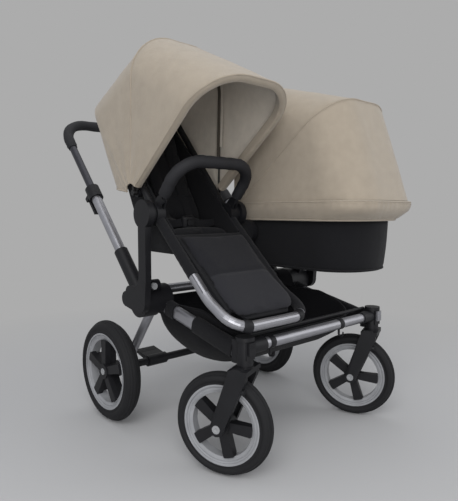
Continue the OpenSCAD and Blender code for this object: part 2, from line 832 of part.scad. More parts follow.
module handlebar() {
    color(panel_grey) lean(arm_y, arm_z, arm_angle)
        u_bar(arm_x, handle_len, handle_bend_r, bar_d, bar_from);
}
module grip() {
    color(black) lean(arm_y, arm_z, arm_angle) difference() {
        u_bar(arm_x, handle_len, handle_bend_r, grip_d, grip_from);
        u_bar(arm_x, handle_len, handle_bend_r, bar_d + running, grip_from - proud);
    }
}

// Rear legs swing on the side joints and carry the axle
module rear_leg() {
    difference() {
        union() {
            pin(leg_x - knuckle_w / 2, leg_x + knuckle_w / 2, hub_y, hub_z, 2 * knuckle_r);
            rod([leg_x, hub_y, hub_z], [leg_x, rear_axle_y, axle_z], leg_d - 4);
            pin(boot_in_x, boot_out_x, rear_axle_y, axle_z, boot_d);
        }
        pin(leg_x - knuckle_w, leg_x + knuckle_w, hub_y, hub_z, hub_pin_d + running);
        pin(boot_in_x - proud, boot_out_x + proud, rear_axle_y, axle_z, axle_d + running);
        pin(boot_in_x - proud, boot_in_x + 20, rear_axle_y, axle_z, axle_tube_d + running);
    }
}
module rear_legs() {
    color(silver) for (left = [false, true]) on_left(!left) rear_leg();
}

module rear_axle() {
    end = rear_wheel_x + rear_hub_half - button_recess - 1;
    color(silver) {
        pin(-boot_in_x - 18, boot_in_x + 18, rear_axle_y, axle_z, axle_tube_d);
        pin(-end, end, rear_axle_y, axle_z, axle_d);
    }
}

// Foot pedal that turns on the axle tube to set the brake
module brake_pedal() {
    color(black) difference() {
        union() {
            pin(pedal_x - pedal_w / 2, pedal_x + pedal_w / 2, rear_axle_y, axle_z, axle_tube_d + 12);
            side_plate(pedal_x - pedal_w / 2, pedal_x + pedal_w / 2)
                capsule([rear_axle_y + 10, axle_z + 8], [rear_axle_y + 66, axle_z + 20], 7, 5);
        }
        pin(pedal_x - pedal_w, pedal_x + pedal_w, rear_axle_y, axle_z, axle_tube_d + running);
        for (i = [0 : 3])
            pin(pedal_x - pedal_w, pedal_x + pedal_w, rear_axle_y + 40 + 8 * i, axle_z + 21 + 1.7 * i, 3);
    }
}

// Wheel pieces, drawn about X with the outer face at -X
module tyre(d, w, wall) {
    r = d / 2;
    shoulder = w * 0.36;
    rotate([0, 90, 0]) rotate_extrude() difference() {
        union() {
            translate([r - shoulder, 0]) circle(r = shoulder);
            translate([r - wall, -w / 2 + 3]) square([wall - shoulder, w - 6]);
            translate([r - wall * 0.55, 0]) stadium_v(w, wall * 0.7);
        }
        for (s = [-1, 0, 1]) translate([r - (s == 0 ? 0 : 2.4), s * w * 0.2]) circle(r = 1.6);
        translate([0, -w]) square([r - wall, 2 * w]);
    }
}
module stadium_v(l, w) {
    square([w, l - w], center = true);
    for (s = [-1, 1]) translate([0, s * (l - w) / 2]) circle(d = w);
}

module rim(d, w, wall) {
    r = d / 2 - wall - 0.1;
    inner = r - rim_depth;
    rotate([0, 90, 0]) rotate_extrude() difference() {
        polygon([[inner, -w * 0.28], [r - 3, -w * 0.44], [r, -w * 0.44],
            [r, w * 0.44], [r - 3, w * 0.44], [inner, w * 0.28]]);
        for (s = [-1, 1]) translate([inner + rim_depth * 0.55, s * w * 0.40]) circle(r = w * 0.09);
    }
}

module spokes(d, wall, half, recess) {
    r = d / 2 - wall - 0.1 - rim_depth - 0.1;
    difference() {
        union() {
            pin(-half, half, 0, 0, wheel_hub_d);
            intersection() {
                pin(-half, half, 0, 0, 2 * r);
                for (i = [0 : spoke_n - 1]) rotate([360 * i / spoke_n, 0, 0]) {
                    side_plate(-half + 3, -half + 3 + spoke_t)
                        capsule([0, 0], [0, r - spoke_w * 0.2], spoke_w * 0.36, spoke_w / 2);
                    side_plate(-half + 3, half - 6) capsule([0, 0], [0, r], 7, 5);
                }
            }
        }
        pin(-half - proud, half + proud, 0, 0, axle_d + running);
        if (recess) pin(-half - proud, -half + button_recess, 0, 0, wheel_button_d + 2 * gap);
    }
}

// Release button, sunk into an outer face at -half
module wheel_button(half) {
    difference() {
        pin(-half - button_proud, -half - button_proud + button_len, 0, 0, wheel_button_d);
        translate([-half - button_proud - 7, 0, 0]) sphere(r = 8.5);
    }
}

module at_rear_wheel(left) {
    on_left(left) translate([-rear_wheel_x, rear_axle_y, axle_z]) children();
}
module rear_tyre(left) {
    color(rubber) at_rear_wheel(left) tyre(rear_wheel_d, rear_tyre_w, rear_tyre_wall);
}
module rear_rim(left) {
    color(rim_white) at_rear_wheel(left) rim(rear_wheel_d, rear_tyre_w, rear_tyre_wall);
}
module rear_spokes(left) {
    color(black) at_rear_wheel(left) spokes(rear_wheel_d, rear_tyre_wall, rear_hub_half, true);
}
module rear_button(left) {
    color(button_white) at_rear_wheel(left) wheel_button(rear_hub_half);
}
module right_rear_tyre() { rear_tyre(false); }
module left_rear_tyre() { rear_tyre(true); }
module right_rear_rim() { rear_rim(false); }
module left_rear_rim() { rear_rim(true); }
module right_rear_spokes() { rear_spokes(false); }
module left_rear_spokes() { rear_spokes(true); }
module right_rear_button() { rear_button(false); }
module left_rear_button() { rear_button(true); }

// Frame of a caster: origin on the ground under its swivel axis, the wheel trails towards +Y
module at_caster(left) {
    translate([left ? caster_x : -caster_x, caster_y, 0]) rotate([0, 0, caster_turn]) children();
}
module at_front_wheel(left) {
    at_caster(left) translate([0, caster_trail, front_wheel_d / 2]) children();
}

// Fork that straddles the wheel, with a recess for the release button in its right arm
fork_out_x = fork_in_x + fork_arm_w;
module fork(left) {
    wheel = [caster_trail, front_wheel_d / 2];
    knob_y = mix(fork_top_y, caster_trail, fork_knob_drop / (crown_z - wheel.y));
    color(black) at_caster(left) difference() {
        union() {
            translate([0, 0, crown_z]) cylinder(d = stem_d, h = crown_h + stem_len);
            translate([0, 0, crown_z]) cylinder(d = crown_d, h = crown_h);
            side_plate(-fork_out_x, fork_out_x)
                translate([-crown_d / 2, crown_z]) square([crown_d + 4, crown_h - 3]);
            for (s = [0, 1]) mirror([s, 0, 0]) {
                side_plate(fork_in_x, fork_out_x)
                    capsule([fork_top_y, crown_z - 6], wheel, fork_top_r, fork_foot_r);
                pin(wheel_hub_half + gap, fork_in_x + proud, wheel.x, wheel.y, axle_d + 10);
            }
            pin(-fork_out_x + button_recess + 1, fork_out_x, wheel.x, wheel.y, axle_d);
            translate([-fork_in_x - fork_arm_w / 2, knob_y, crown_z - fork_knob_drop]) rotate([90, 0, 0])
                cylinder(d = fork_knob_d, h = fork_top_r + 10);
        }
        pin(-fork_out_x - proud, -fork_out_x + button_recess, wheel.x, wheel.y, wheel_button_d + 2 * gap);
    }
}
module right_fork() { fork(false); }
module left_fork() { fork(true); }
module front_tyre(left) {
    color(rubber) at_front_wheel(left) tyre(front_wheel_d, front_tyre_w, front_tyre_wall);
}
module front_rim(left) {
    color(rim_white) at_front_wheel(left) rim(front_wheel_d, front_tyre_w, front_tyre_wall);
}
module front_spokes(left) {
    color(black) at_front_wheel(left) rotate([front_spoke_turn, 0, 0])
        spokes(front_wheel_d, front_tyre_wall, wheel_hub_half, false);
}
module front_button(left) {
    color(button_white) at_front_wheel(left) wheel_button(fork_out_x);
}
module right_front_tyre() { front_tyre(false); }
module left_front_tyre() { front_tyre(true); }
module right_front_rim() { front_rim(false); }
module left_front_rim() { front_rim(true); }
module right_front_spokes() { front_spokes(false); }
module left_front_spokes() { front_spokes(true); }
module right_front_button() { front_button(false); }
module left_front_button() { front_button(true); }

// Everything of the seat is drawn about its own middle plane
module at_seat() {
    translate([-unit_x, 0, 0]) children();
}

// Socket of a unit: drops over the tongue of a support
module carrier(z) {
    difference() {
        side_plate(carrier_in, carrier_out) translate([pivot_y, z]) circle(r = carrier_r);
        translate([carrier_out - tongue_len - gap, pivot_y - tongue_half - gap, z - 2 * carrier_r])
            cube([2 * tongue_len, 2 * tongue_half + 2 * gap, 2 * carrier_r + tongue_up + gap]);
    }
}

module seat_hubs() {
    color(black) at_seat() for (s = [0, 1]) mirror([s, 0, 0]) {
        carrier(seat_z);
        pin(seat_hub_in + 3, carrier_in + proud, pivot_y, seat_z, recline_pin_d);
    }
}

module seat_frame_side() {
    difference() {
        union() {
            pin(seat_hub_in, seat_hub_out, pivot_y, seat_z, seat_hub_d);
            for (x = [seat_tube_x - tongue_t / 2 - gap - ear_t, seat_tube_x + tongue_t / 2 + gap])
                side_plate(x, x + ear_t) capsule([pivot_y, seat_z], [bumper_y, bumper_z], 20, ear_r);
        }
        pin(seat_hub_in - proud, seat_hub_out + proud, pivot_y, seat_z, recline_pin_d + running);
    }
    pin(seat_tube_x - tongue_t, seat_tube_x + tongue_t, bumper_y, bumper_z, bumper_pin_d);
    pin(seat_tube_x, seat_hub_out, seat_canopy_y, seat_canopy_z, 24);
    pin(seat_tube_x, mid_layer + rib_d / 2, seat_canopy_y, seat_canopy_z, rib_pin_d);
}

// Frame tubes: a U round the feet and a hoop behind the back, both from the recline hubs
module seat_frame() {
    x = [seat_tube_x, 0, 0];
    start = seat_hub_d / 2 - 4;
    pivot = [0, pivot_y, seat_z];
    knee = [0, knee_y, knee_z];
    foot = [0, foot_y, foot_z];
    leg = pivot + unit(knee - pivot) * start;
    leg_path = round_path([leg - x, knee - x, foot - x, foot + x, knee + x, leg + x],
        [knee_bend_r, foot_bend_r, foot_bend_r, knee_bend_r]);
    color(silver) at_seat() {
        for (s = [0, 1]) mirror([s, 0, 0]) seat_frame_side();
        swept_tube(leg_path, leg_tube_d, cross(x, foot - knee));
        lean(pivot_y, seat_z, back_angle) u_bar(seat_tube_x, back_len, back_bend_r, back_tube_d, start);
    }
}

// Outline of a strip of cloth that lies along a side-view path
function left_normal(a, b) = let (u = unit(b - a)) [-u.y, u.x];
function path_normal(path, i) = let (n = len(path))
    i == 0 ? left_normal(path[0], path[1])
    : i == n - 1 ? left_normal(path[n - 2], path[n - 1])
    : let (a = left_normal(path[i - 1], path[i]), b = left_normal(path[i], path[i + 1]))
        (a + b) / (1 + a * b);
function band(path, t) = concat(path,
    [for (i = [len(path) - 1 : -1 : 0]) path[i] - path_normal(path, i) * t]);

module seat_sling() {
    color(cloth_black) at_seat() {
        side_plate(-sling_x, sling_x) polygon(band(sling_path, -sling_t));
        side_plate(foot_bend_r - seat_tube_x, seat_tube_x - foot_bend_r)
            polygon(band([knee_edge, sling_toe], -sling_t));
        for (s = [0, 1]) mirror([s, 0, 0]) side_plate(sling_x - sling_t, sling_x) polygon(sling_wall);
    }
}

// Places a cushion on the sling between two of its side-view points
module on_sling(p, q, from, l) {
    u = unit(q - p);
    n = [-u.y, u.x];
    c = p + u * (from + l / 2) + n * running;
    translate([0, c.x, c.y]) rotate([atan2(u.y, u.x), 0, 0]) children();
}

module seat_liner() {
    back_l = 392;
    seat_l = 112;
    color(cloth_black) at_seat() {
        on_sling(hip, head_end, 26, back_l) pad(2 * pad_half_w, back_l, back_pad_t, [-0.3, 0.3]);
        on_sling(pan_front, pan_rear, 4, seat_l) pad(2 * pad_half_w, seat_l, seat_pad_t, [0]);
    }
}

// Padded panel from the knees to the foot bar, with one crease across it
leg_panel_over = 40;
leg_panel_r = 44;
module leg_panel() {
    leg_l = norm(knee_edge - foot_end) - 10 + leg_panel_over;
    color(panel_grey) at_seat() on_sling(foot_end, knee_edge, -leg_panel_over, leg_l)
        pad(2 * (sling_x - proud), leg_l, leg_pad_t, [-0.05], leg_panel_r, 16);
}

// Harness: shoulder straps down the back, lap straps to the sides, and a buckle on the seat cushion
buckle_y = -104;
buckle_z = 606;
buckle_w = 44;
buckle_h = 40;
buckle_t = 14;
buckle_button_d = 18;
back_dir = unit(head_end - hip);
back_face = hip + [-back_dir.y, back_dir.x] * (back_pad_t + running);
strap_path = [back_face + back_dir * 330, back_face + back_dir * 48, [buckle_y + 4, buckle_z + 6]];
module harness() {
    color(black) at_seat() {
        for (s = [-1, 1]) side_plate(s * strap_x - strap_w / 2, s * strap_x + strap_w / 2)
            polygon(band(strap_path, strap_t));
        for (s = [0, 1]) mirror([s, 0, 0]) translate([buckle_w / 2 - proud, buckle_y + 2, buckle_z - 10])
            cube([pad_half_w - buckle_w / 2 + proud, strap_t, strap_w - 4]);
        translate([-buckle_w / 2, buckle_y - buckle_t / 2, buckle_z - buckle_h / 2]) difference() {
            cube([buckle_w, buckle_t, buckle_h]);
            translate([buckle_w / 2, -proud, buckle_h / 2]) rotate([-90, 0, 0])
                cylinder(d = buckle_button_d + 2 * gap, h = 8 + proud);
        }
    }
}
module buckle_button() {
    color(button_white) at_seat() translate([0, buckle_y - buckle_t / 2 - 2, buckle_z]) rotate([-90, 0, 0])
        cylinder(d = buckle_button_d, h = 6);
}

// Padded bar in front of the child, hinged on the recline hubs
module bumper_bar() {
    start = ear_r + 5;
    color(black) at_seat() lean(bumper_y, bumper_z, 180 - bumper_angle) {
        u_bar(seat_tube_x, bumper_reach, bumper_bend_r, bumper_d, start);
        for (s = [0, 1]) mirror([s, 0, 0]) difference() {
            side_plate(seat_tube_x - tongue_t / 2, seat_tube_x + tongue_t / 2)
                capsule([0, 0], [0, start + 6], bumper_eye_r, bumper_eye_r);
            pin(0, 2 * seat_tube_x, 0, 0, bumper_pin_d + running);
        }
    }
}

module seat_canopy() { color(beige) at_seat() canopy(seat_rows, seat_canopy_y, seat_canopy_z); }
module seat_front_rib() {
    color(black) at_seat() rib(seat_rows[0], front_layer, seat_canopy_y, seat_canopy_z);
}
module seat_mid_rib() {
    color(black) at_seat() rib(seat_rows[1], mid_layer, seat_canopy_y, seat_canopy_z);
}

// Everything of the carrycot is drawn about its own middle plane
module at_cot() {
    translate([unit_x, 0, 0]) children();
}

// Rim of the carrycot with its sockets and the brackets of the hood
module carrycot_frame() {
    mid = (tub_front_y + tub_rear_y) / 2;
    half = (tub_rear_y - tub_front_y - ring_d) / 2;
    w = ring_half_w;
    z = ring_z;
    color(black) at_cot() {
        for (angle = [0, 180]) lean(mid, z, angle) u_bar(w, half, ring_bend_r, ring_d, 0);
        for (s = [0, 1]) mirror([s, 0, 0]) {
            carrier(cot_z);
            translate([carrier_in, pivot_y - 18, cot_z + tongue_up + 4])
                cube([4.4, 36, ring_z + 5 - cot_z - tongue_up - 4]);
            translate([w, pivot_y - 18, tub_rim_z + gap]) cube([carrier_in + 4.4 - w, 36, ring_d - 2]);
            translate([w - 4, hood_y - 11, z]) cube([front_layer - rib_d / 2 - gap - w + 4, 22, hood_z - z]);
            pin(w - 4, front_layer - rib_d / 2 - gap, hood_y, hood_z, 22);
            pin(w, mid_layer + rib_d / 2, hood_y, hood_z, rib_pin_d);
        }
    }
}

// Fabric-covered tub; its rear end slopes forward to pass in front of the handle arm
function tub_rear(z) = tub_rear_y - tub_rear_slope * (tub_rim_z - z);
function tub_ring(inset, z) = at_z(round_outline(-tub_half_w + inset, tub_half_w - inset,
    tub_front_y + inset, tub_rear(z) - inset, tub_r - inset), z);
module carrycot_tub() {
    mid_y = (tub_front_y + tub_rear(tub_bottom_z)) / 2;
    floor_z = tub_bottom_z + tub_wall;
    rings = [
        tub_ring(30, tub_bottom_z),
        tub_ring(16, tub_bottom_z + 5),
        tub_ring(10, tub_bottom_z + 18),
        tub_ring(3, tub_bottom_z + 80),
        tub_ring(0, tub_rim_z),
        tub_ring(tub_wall, tub_rim_z),
        tub_ring(tub_wall + 3, tub_bottom_z + 80),
        tub_ring(tub_wall + 11, floor_z)
    ];
    color(cloth_black) at_cot() loft(rings, [0, mid_y, tub_bottom_z], [0, mid_y, floor_z]);
}

module mattress() {
    mid_y = (tub_front_y + tub_rear(tub_bottom_z)) / 2;
    base = tub_bottom_z + tub_wall + gap;
    inset = tub_wall + 14;
    rings = [
        tub_ring(inset + 8, base),
        tub_ring(inset, base + 8),
        tub_ring(inset, base + mattress_t * 0.6),
        tub_ring(inset + 7, base + mattress_t * 0.88),
        tub_ring(inset + 26, base + mattress_t)
    ];
    color(mattress_white) at_cot() loft(rings, [0, mid_y, base], [0, mid_y, base + mattress_t + 3]);
}

// Cover over the foot end, stretched over the rim
apron_cols = 12;
apron_rows = 12;
function apron_half(y) = let (c = tub_rear_y - tub_r, d = max(0, y - c))
    tub_half_w - 3 - tub_r + sqrt(max(0, tub_r * tub_r - d * d));
function apron_grid(t) = [for (i = [0 : apron_rows])
    let (v = sin(90 * i / apron_rows), y = mix(apron_front_y, tub_rear_y - 4, v), h = apron_half(y))
    [for (j = [0 : apron_cols]) let (u = 2 * j / apron_cols - 1)
        [h * u, y, ring_z + ring_d / 2 + gap + t + apron_crown * (1 - u * u) * (1 - pow(v, 4) * 0.8)]]];
module apron() {
    color(beige) at_cot() skin(apron_grid(0), apron_grid(apron_t));
}

module carrycot_hood() { color(beige) at_cot() canopy(hood_rows, hood_y, hood_z); }
module hood_open_rib() { color(black) at_cot() rib(hood_rows[3], front_layer, hood_y, hood_z); }
module hood_mid_rib() { color(black) at_cot() rib(hood_rows[2], mid_layer, hood_y, hood_z); }

right_hub();
left_hub();
front_beams();
right_corner_block();
left_corner_block();
front_cross_tubes();
mid_cross_tube();
outer_posts();
centre_post();
basket();
arm_tubes();
arm_sleeves();
handle_clamps();
right_fold_button();
left_fold_button();
handlebar();
grip();
right_clamp_lever();
left_clamp_lever();
rear_legs();
rear_axle();
brake_pedal();
right_rear_tyre();
right_rear_rim();
right_rear_spokes();
right_rear_button();
left_rear_tyre();
left_rear_rim();
left_rear_spokes();
left_rear_button();
right_fork();
left_fork();
right_front_tyre();
right_front_rim();
right_front_spokes();
right_front_button();
left_front_tyre();
left_front_rim();
left_front_spokes();
left_front_button();
right_swivel_lock();
left_swivel_lock();
seat_hubs();
seat_frame();
seat_sling();
seat_liner();
leg_panel();
harness();
buckle_button();
bumper_bar();
seat_canopy();
seat_front_rib();
seat_mid_rib();
carrycot_frame();
carrycot_tub();
mattress();
apron();
carrycot_hood();
hood_open_rib();
hood_mid_rib();
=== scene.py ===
"""Looks of the twin pram: cloth, padding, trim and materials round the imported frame."""
import json
from math import atan2, cos, degrees, exp, hypot, pi, radians, sin, sqrt, tan

import bmesh
import bpy
from mathutils import Matrix, Quaternion, Vector, noise


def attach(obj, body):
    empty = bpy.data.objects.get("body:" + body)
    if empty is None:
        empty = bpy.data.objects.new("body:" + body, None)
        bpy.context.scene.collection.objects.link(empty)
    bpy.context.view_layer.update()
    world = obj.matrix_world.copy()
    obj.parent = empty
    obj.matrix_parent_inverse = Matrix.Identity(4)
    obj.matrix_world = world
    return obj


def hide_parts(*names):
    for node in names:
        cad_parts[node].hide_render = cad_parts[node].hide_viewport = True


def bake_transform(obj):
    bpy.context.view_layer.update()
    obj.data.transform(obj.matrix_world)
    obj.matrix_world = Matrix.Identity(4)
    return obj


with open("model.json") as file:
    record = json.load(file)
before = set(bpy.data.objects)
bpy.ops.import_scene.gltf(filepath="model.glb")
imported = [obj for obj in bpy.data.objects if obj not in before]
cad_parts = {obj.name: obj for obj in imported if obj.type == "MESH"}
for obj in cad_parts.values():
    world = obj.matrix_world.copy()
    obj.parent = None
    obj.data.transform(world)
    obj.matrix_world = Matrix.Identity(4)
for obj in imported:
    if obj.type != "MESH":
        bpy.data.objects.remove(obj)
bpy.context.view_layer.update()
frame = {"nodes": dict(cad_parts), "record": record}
nodes = frame["nodes"]
scene = bpy.context.scene


def srgb(r, g, b):
    """Linear colour of an 8-bit display colour."""
    def linear(v):
        v /= 255
        return v / 12.92 if v <= 0.04045 else ((v + 0.055) / 1.055) ** 2.4
    return (linear(r), linear(g), linear(b), 1.0)


class Nodes:
    """New material, with a short way to add and link its shader nodes."""

    def __init__(self, name, **inputs):
        self.material = bpy.data.materials.new(name)
        self.material.use_nodes = True
        self.tree = self.material.node_tree
        self.shader = self.tree.nodes["Principled BSDF"]
        self.set(self.shader, inputs)
        self.coords = self.add("ShaderNodeTexCoord").outputs["Object"]

    def set(self, node, inputs):
        for name, value in inputs.items():
            node.inputs[name.replace("_", " ")].default_value = value

    def add(self, kind, **inputs):
        node = self.tree.nodes.new(kind)
        self.set(node, inputs)
        return node

    def link(self, a, b):
        self.tree.links.new(a, b)

    def noise(self, scale, detail=2.0):
        node = self.add("ShaderNodeTexNoise", Scale=scale, Detail=detail)
        self.link(self.coords, node.inputs["Vector"])
        return node.outputs["Fac"]

    def wave(self, scale, axis):
        node = self.add("ShaderNodeTexWave", Scale=scale, Distortion=0.6)
        node.bands_direction = axis
        self.link(self.coords, node.inputs["Vector"])
        return node.outputs["Fac"]

    def math(self, operation, a, b):
        node = self.add("ShaderNodeMath")
        node.operation = operation
        for socket, value in zip(node.inputs, (a, b)):
            if isinstance(value, (int, float)):
                socket.default_value = value
            else:
                self.link(value, socket)
        return node.outputs[0]

    def base(self, value, low, high, colour, dark, light):
        """Runs the colour with a value, from a darker to a lighter share of it."""
        node = self.add("ShaderNodeValToRGB")
        for element, place, share in zip(node.color_ramp.elements, (low, high), (dark, light)):
            element.position = place
            element.color = (*(c * share for c in colour[:3]), 1.0)
        self.link(value, node.inputs["Fac"])
        self.link(node.outputs["Color"], self.shader.inputs["Base Color"])

    def roughness(self, value, low, high):
        node = self.add("ShaderNodeMapRange", To_Min=low, To_Max=high)
        self.link(value, node.inputs["Value"])
        self.link(node.outputs["Result"], self.shader.inputs["Roughness"])

    def bump(self, heights):
        """Chains bumps given as (height socket, distance in metres, strength)."""
        normal = None
        for height, distance, strength in heights:
            node = self.add("ShaderNodeBump", Strength=strength, Distance=distance)
            self.link(height, node.inputs["Height"])
            if normal is not None:
                self.link(normal, node.inputs["Normal"])
            normal = node.outputs["Normal"]
        self.link(normal, self.shader.inputs["Normal"])


def cloth_material(name, colour, thread=900.0, sheen=0.25):
    """Woven cloth: two crossed thread waves, slubs, and soft crumples."""
    n = Nodes(name, Sheen_Weight=sheen, Sheen_Roughness=0.5, Specular_IOR_Level=0.2)
    weave = n.math("MULTIPLY", n.wave(thread, "DIAGONAL"), n.wave(thread * 0.93, "Z"))
    mottle = n.noise(38.0, 3.0)
    slub = n.math("ADD", n.math("MULTIPLY", mottle, 0.75), n.math("MULTIPLY", weave, 0.25))
    n.base(slub, 0.2, 0.8, colour, 0.88, 1.06)
    n.roughness(mottle, 0.78, 0.95)
    n.bump([(n.noise(9.0), 0.010, 0.0875), (n.noise(55.0), 0.0012, 0.35), (weave, 0.0003, 0.5)])
    return n.material


def plastic_material(name, colour, rough=0.5):
    """Moulded plastic with a fine spark-eroded grain and faint rubbed patches."""
    n = Nodes(name, Specular_IOR_Level=0.3)
    patches = n.noise(22.0, 3.0)
    n.base(patches, 0.3, 0.75, colour, 0.88, 1.12)
    n.roughness(patches, rough - 0.06, rough + 0.1)
    n.bump([(n.noise(420.0), 0.0003, 0.25)])
    return n.material


def metal_material(name, colour, rough=0.34):
    """Anodised tube: a very fine grain and soft handling marks."""
    n = Nodes(name, Metallic=0.85)
    marks = n.noise(30.0, 4.0)
    n.base(marks, 0.3, 0.8, colour, 0.92, 1.05)
    n.roughness(marks, rough - 0.05, rough + 0.1)
    n.bump([(n.noise(700.0), 0.0002, 0.15)])
    return n.material


def rubber_material(name, colour, rough=0.75):
    """Rubber or foam with dusty patches."""
    n = Nodes(name, Specular_IOR_Level=0.3)
    dust = n.noise(16.0, 4.0)
    n.base(dust, 0.35, 0.8, colour, 0.85, 1.3)
    n.roughness(dust, rough - 0.08, rough + 0.12)
    n.bump([(n.noise(260.0, 3.0), 0.0005, 0.3)])
    return n.material


canvas = cloth_material("canvas_beige", srgb(160, 149, 134))
# Pale lining, lightened further as painted light for the glow through the canopy cloth into the shaded
# inside.
lining_painted_light = cloth_material("lining_beige_painted_light", srgb(216, 207, 194), thread=1200.0)
tape_cloth = cloth_material("tape", srgb(96, 89, 80), thread=700.0, sheen=0.1)
black_cloth = cloth_material("cloth_black", srgb(19, 19, 22), sheen=0.05)
panel_cloth = cloth_material("cloth_panel", srgb(38, 38, 42), sheen=0.05)
# Darker copy of the panel cloth: painted shade for the upper part of the leg pad, under the seat.
panel_painted_shade = cloth_material("cloth_panel_painted_shade", srgb(27, 27, 31), sheen=0.05)
white_cloth = cloth_material("cloth_white", srgb(205, 204, 200))
webbing = cloth_material("webbing", srgb(20, 20, 23), thread=700.0, sheen=0.05)
plastic = plastic_material("plastic_black", srgb(21, 21, 24))
white_plastic = plastic_material("plastic_white", srgb(146, 147, 149), rough=0.4)
rim_plastic = plastic_material("plastic_rim", srgb(144, 145, 148), rough=0.38)
rib_plastic = plastic_material("plastic_rib", srgb(31, 30, 30), rough=0.4)
silver = metal_material("tube_silver", srgb(162, 162, 167))
dark_metal = metal_material("tube_dark", srgb(70, 70, 75), rough=0.4)
grip_foam = rubber_material("grip_foam", srgb(32, 32, 35), rough=0.7)
tyre_rubber = rubber_material("tyre_rubber", srgb(24, 24, 26))

SLOT_MATERIALS = {
    "black_plastic": plastic,
    "silver_tube": silver,
    "dark_tube": dark_metal,
    "grip_cover": grip_foam,
    "white_plastic": white_plastic,
    "tyre": tyre_rubber,
    "rim_plastic": rim_plastic,
    "black_fabric": black_cloth,
    "beige_fabric": canvas,
    "white_fabric": white_cloth,
    "rib_plastic": rib_plastic,
}
for part in frame["record"]["subparts"]:
    mesh = nodes[part["node"]].data
    mesh.materials.clear()
    mesh.materials.append(SLOT_MATERIALS[part["material_slot"]])
    mesh.shade_smooth()
    mesh.set_sharp_from_angle(angle=radians(35))

# Sizes in millimetres, as in the solid model
MM = 0.001
SEAT_X = -189.0
COT_X = 189.0
CLOTH_T = 3.0
CANOPY_ROOT = 26.0
CANOPY_HALF_W = 163.0
SEAT_CANOPY = (-60.0, 690.0)
HOOD = (-75.0, 650.0)
SEAT_PIVOT = Vector((-130.0, 632.0))
SEAT_TUBE_X = 129.0
LEG_TUBE_D = 26.0
KNEE = Vector((-349.0, 425.0))
FOOT = Vector((-445.0, 372.0))
HEAD_END = Vector((149.0, 946.0))
HIP = Vector((-45.0, 560.0))
PAN_REAR = Vector((-64.0, 528.0))
PAN_FRONT = Vector((-178.0, 566.0))
KNEE_EDGE = Vector((-196.0, 580.0))
FOOT_END = Vector((-397.0, 409.2))
SLING_X = 115.7
SLING_T = 6.0
PAD_HALF_W = 109.4
TUB_HALF_W = 143.0
TUB_FRONT = -501.0
TUB_REAR = 196.0
TUB_RIM = 622.0
TUB_BOTTOM = 465.0
TUB_WALL = 8.0
TUB_REAR_SLOPE = 0.95
TUB_R = TUB_HALF_W - 3.0
TUB_MIDDLE = (TUB_FRONT + TUB_REAR - TUB_REAR_SLOPE * (TUB_RIM - TUB_BOTTOM)) / 2
RIM_TOP = TUB_RIM + 14.6
APRON_FRONT = -29.0
APRON_CROWN = 26.0
BUCKLE = Vector((-104.0, 606.0))
STRAP_X = 42.0
STRAP_W, LAP_W, STRAP_T = 26.0, 22.0, 2.0
STRAP_TOP, STRAP_LOW = 330.0, 48.0
COVER_W, COVER_T = 40.0, 7.0
COVER_TOP, COVER_LOW = 300.0, 120.0
BACK_FACE = 37.5
CASTER_X = 273.0
CASTER_Y = -429.0
FRONT_TUBE_Z = 318.3
CROSS_D = 28.0
HUB_Y = -80.0
BEAM_H = 38.0
BEAM_W = 22.0
BEAM_REAR_Z = 380.0
BEAM_FRONT_Z = 300.3
BASKET_HALF_W = 250.0
BASKET_REAR = 15.0
BASKET_FRONT = -386.0
BASKET_MIDDLE = (BASKET_REAR + BASKET_FRONT) / 2
BASKET_RIM = 374.0
BASKET_LOW = 226.0
GRIP_R, BUMPER_R = 17.4, 16.6
# Each bar is half width, reach, bend radius, start and steps of its cover, then place and slope of its legs
GRIP_BAR, GRIP_PLACE = (292.0, 772.0, 95.0, 637.0, (6, 10, 16)), (0.0, -15.0, 390.0, 47.3)
BUMPER_BAR, BUMPER_PLACE = (SEAT_TUBE_X, 130.0, 70.0, 17.0, (6, 10, 5)), (SEAT_X, -159.0, 668.0, 130.0)
# Each canopy row is angle, reach, half width and corner radius, from the front backwards. The hood's first
# rows and the seat's last one reach further than the solids.
SEAT_ROWS = [(39.0, 428.0, CANOPY_HALF_W, 126.0), (88.0, 430.0, CANOPY_HALF_W, 126.0),
             (130.0, 395.0, CANOPY_HALF_W, 110.0), (172.0, 128.0, CANOPY_HALF_W - 4.0, 64.0)]
HOOD_ROWS = [(-3.2, HOOD[0] - TUB_FRONT + 4.0, 154.0, 108.0),
             (2.4, HOOD[0] - TUB_FRONT + 36.0, CANOPY_HALF_W + 3.0, 112.0),
             (39.0, 476.0, CANOPY_HALF_W, 120.0), (92.0, 408.0, CANOPY_HALF_W, 110.0)]
HOOD_MID_RIB = (45.0, 436.0, CANOPY_HALF_W, 115.0)


def mix(a, b, k):
    """Value between a and b, at share k."""
    return a * (1 - k) + b * k


def bell(x, width):
    """Smooth bump of height 1 round x = 0."""
    return exp(-(x / width) ** 2)


WELD = 0.00002


